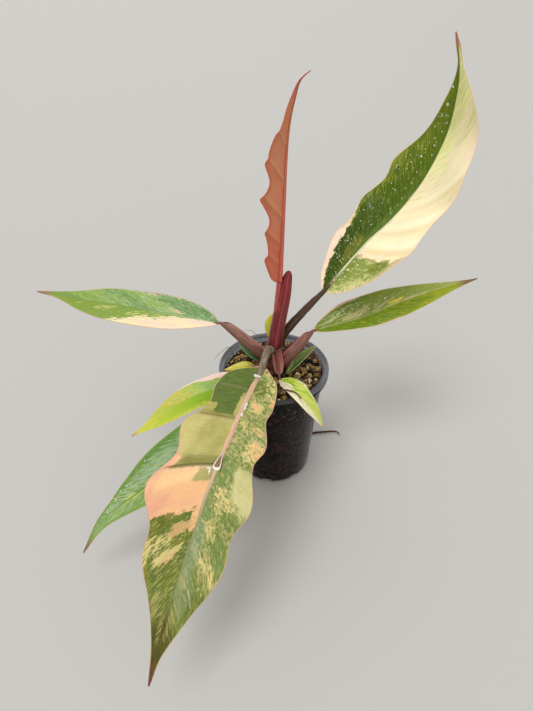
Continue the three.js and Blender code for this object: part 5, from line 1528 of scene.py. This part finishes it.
def addSoilBody():
    # a closed body turned round the pot's axis: the grid's x goes round and its y from the foot up and in
    body, x, y = addGrid("soilBody", mixShape["around"], mixShape["along"])
    inside = potShape["wall"] + mixShape["gap"]
    top = potShape["wallTopRadius"] - inside
    foot = potShape["baseRadius"] - inside
    edge = top - mixShape["shoulder"]
    turns = mixShape["turns"]
    stops = [(0, 0, inside), (turns["foot"], foot - mixShape["foot"], inside),
             (turns["wall"], foot, inside + mixShape["foot"]),
             (turns["top"], top, mixShape["level"] - mixShape["edgeDrop"]),
             (turns["dome"], edge, mixShape["level"])]
    for share in np.linspace(0, 1, mixShape["domeSteps"] + 1)[1:]:
        stops.append((turns["dome"] + (1 - turns["dome"]) * share, edge * (1 - share),
                      mixHeight(top * (1 - share))))
    share, radius, height = np.array(stops).T
    r, z = np.interp(y, share, radius), np.interp(y, share, height)
    angle = math.pi * x
    points = np.stack([r * np.cos(angle), r * np.sin(angle), z], -1)
    rng = np.random.default_rng(mixShape["seed"])
    calmWidth, fadeWidth = mixShape["calmEdge"]
    onTop = np.clip((y - turns["dome"] - calmWidth) / fadeWidth, 0, 1)
    for k in range(mixShape["waves"]):
        turn = rng.normal(0, mixShape["waveTurns"], 2)
        phase = rng.uniform(0, mixShape["wavePhase"])
        wave = np.sin(points[:, 0] * turn[0] + points[:, 1] * turn[1] + phase)
        points[:, 2] += onTop * mixShape["waveHeight"] * wave
    movePoints(body, points)
    closeTube(body)
    shadeSmooth(body)
    body.data.materials.append(soilMaterial())
    return body


def chunkModels():
    # a few broken lumps, each shaped from a ball of few faces
    models = []
    for seed in range(mixShape["models"]):
        deselectAll()
        bpy.ops.mesh.primitive_ico_sphere_add(subdivisions=2, radius=1)
        lump = bpy.context.object
        bpy.ops.object.mode_set(mode="EDIT")
        bpy.ops.mesh.select_all(action="SELECT")
        bpy.ops.transform.vertex_random(offset=mixShape["brokenness"], seed=seed + 1)
        bpy.ops.transform.resize(value=[first + step * seed for first, step in mixShape["lumpSizes"]])
        bpy.ops.object.mode_set(mode="OBJECT")
        models.append(lump)
    return models


def scatterChunks():
    rng = random.Random(mixShape["seed"])
    models = chunkModels()
    heaps = {kind["name"]: [] for kind in mixShape["kinds"]}
    shares = [kind["share"] for kind in mixShape["kinds"]]
    for k in range(mixShape["pieces"]):
        kind = rng.choices(mixShape["kinds"], shares)[0]
        size = rng.uniform(*kind["size"])
        reach = mixShape["reach"] - mixShape["clearance"] * size
        r = math.sqrt(rng.uniform((mixShape["stemRadius"] / reach) ** 2, 1)) * reach
        angle = rng.uniform(0, 2 * math.pi)
        lift = rng.uniform(*kind["lift"]) * size
        place = Vector((r * math.cos(angle), r * math.sin(angle), mixHeight(r) + lift))
        spin = rng.uniform(0, mixShape["spin"])
        turn = Matrix.Rotation(spin, 4, Vector([rng.gauss(0, 1) for axis in range(3)]))
        chunk = copyOf(rng.choice(models), Matrix.Translation(place * mm) @ turn @ Matrix.Scale(size * mm, 4))
        storeAttribute(chunk, "tone", np.full(len(chunk.data.vertices), rng.random()))
        heaps[kind["name"]].append(chunk)
    for model in models:
        bpy.data.objects.remove(model)
    for kind in mixShape["kinds"]:
        heap = joinPieces(heaps[kind["name"]], kind["name"] + "Chunks")
        heap.data.materials.append(chunkMaterial(kind))
        shadeSmooth(heap, mixShape["sharpAngle"])
        finishPiece(heap)


finishPiece(addSoilBody(), ["potting_mix"])
scatterChunks()
print("potting mix is made")

# Roots, loose hairs and a dried thread

rootShapes = {
    "rootOut": {
        "path": [(24, 16.5, 3.2), (34, 24, 2.6), (46, 29, 1.5), (58, 30.5, 1.4), (67, 31.4, 1.4),
                 (70.8, 30.4, 1.4), (72.6, 28.6, 1.2), (73.2, 26.6, 0.9)],
        "radius": [1.1, 1.2, 1.15, 1.2, 1.05, 1.0, 0.7, 0.4], "colours": ("5c2620", "6e342a", "2c100c"),
        "nodes": ["root_out"],
    },
    "rootOverMix": {
        "path": [(3, 3, 126), (11, 12, 134), (22, 23, 134), (31.5, 25, 127), (38.5, 16, 124.5), (42, 6, 122),
                 (42, -2, 119.5), (40.5, -8, 115)],
        "radius": [0.8, 0.7, 0.75, 0.65, 0.7, 0.6], "colours": ("7c3830", "8c463a", "4a1e18"),
        "nodes": ["root_over_mix"],
    },
    "hairLeftRim": {
        "path": [(-38, 20, 119), (-41, 25, 125), (-46, 18, 128), (-52, 9, 128), (-56, 4, 126)],
        "radius": [0.22, 0.2, 0.12], "colours": ("6a5038", "8a7458", "3a2a1c"),
    },
    "hairBackRim": {
        "path": [(-10, 38, 119), (-14.9, 41.4, 126), (-21.7, 45.1, 129.5), (-28.5, 47, 129)],
        "radius": [0.25, 0.2, 0.12], "colours": ("7a6044", "8a7458", "3a2a1c"),
    },
    "driedThread": {
        "path": [(-1, -50, 133), (5.4, -54.5, 144.8), (13.6, -56.2, 145.2), (18, -58.2, 144),
                 (21, -60.4, 141.2)],
        "radius": [0.5, 0.7, 0.65, 0.4], "colours": ("6b4a34", "8a6044", "3a2418"),
    },
}

for name, shape in rootShapes.items():
    root = addTube(name, shape["path"], shape["radius"], (0.1, 0.2, 1), sides=10, rows=60, wander=0.07,
                   seed=len(name))
    root.data.materials.append(stalkMaterial(name, shape, roughness=0.7, coat=0.0))
    finishPiece(root, shape.get("nodes", ()))
print("roots and threads are made")

# Small drops of water. Those of one spot lie between two shares along the leaf and two across it, with
# radii between two sizes.

drop = {"seed": 31, "sink": 0.25, "height": 0.6, "longest": 1.5}

dropPlaces = [
    ("upper_right", {"count": 95, "along": (0.04, 0.72), "across": (-0.85, -0.08), "size": (0.25, 0.5)}),
    ("upper_right", {"count": 3, "along": (0.5, 0.85), "across": (-0.7, -0.2), "size": (0.7, 0.9)}),
    ("upper_right", {"count": 14, "along": (0.01, 0.2), "across": (0.02, 0.3), "size": (0.35, 0.8)}),
    ("right", {"count": 12, "along": (0.05, 0.5), "across": (-0.7, -0.1), "size": (0.3, 0.6)}),
    ("hanging_left", {"count": 14, "along": (0.4, 0.85), "across": (0.1, 0.9), "size": (0.35, 0.7)}),
    ("front", {"count": 12, "along": (0.005, 0.03), "across": (-0.2, 0.2), "size": (0.6, 1.5)}),
    ("front", {"count": 12, "along": (0.14, 0.19), "across": (-0.1, -0.06), "size": (0.5, 1.0)}),
]


def waterMaterial():
    # the drops' whitish base colour is a painted highlight that stands in for their glints
    settings = {
        "Base Color": (1.0, 1.0, 0.97, 1), "Roughness": 0.04, "IOR": 1.33, "Transmission Weight": 0.35,
    }
    return newMaterial("waterWithPaintedGlints", settings)[0]


def addDrops():
    rng = random.Random(drop["seed"])
    deselectAll()
    bpy.ops.mesh.primitive_ico_sphere_add(subdivisions=2, radius=1)
    model = bpy.context.object
    drops = []
    for leaf, spot in dropPlaces:
        t, s = [np.array([rng.uniform(*spot[way]) for k in range(spot["count"])])
                for way in ("along", "across")]
        surface = bladeSurface(leafShapes[leaf], t, s)
        for point, normal in zip(surface["points"], surface["normal"]):
            size = rng.uniform(*spot["size"])
            centre = Vector(point + normal * (blade["thickness"] / 2 + drop["sink"] * size))
            turn = Vector(normal).to_track_quat("Z", "Y").to_matrix().to_4x4()
            shape = Matrix.Diagonal((1, rng.uniform(1, drop["longest"]), drop["height"], 1))
            place = Matrix.Translation(centre * mm) @ turn @ Matrix.Scale(size * mm, 4) @ shape
            drops.append(copyOf(model, place))
    bpy.data.objects.remove(model)
    whole = joinPieces(drops, "waterDrops")
    whole.data.materials.append(waterMaterial())
    shadeSmooth(whole)
    finishPiece(whole)


addDrops()
print("water drops are made")
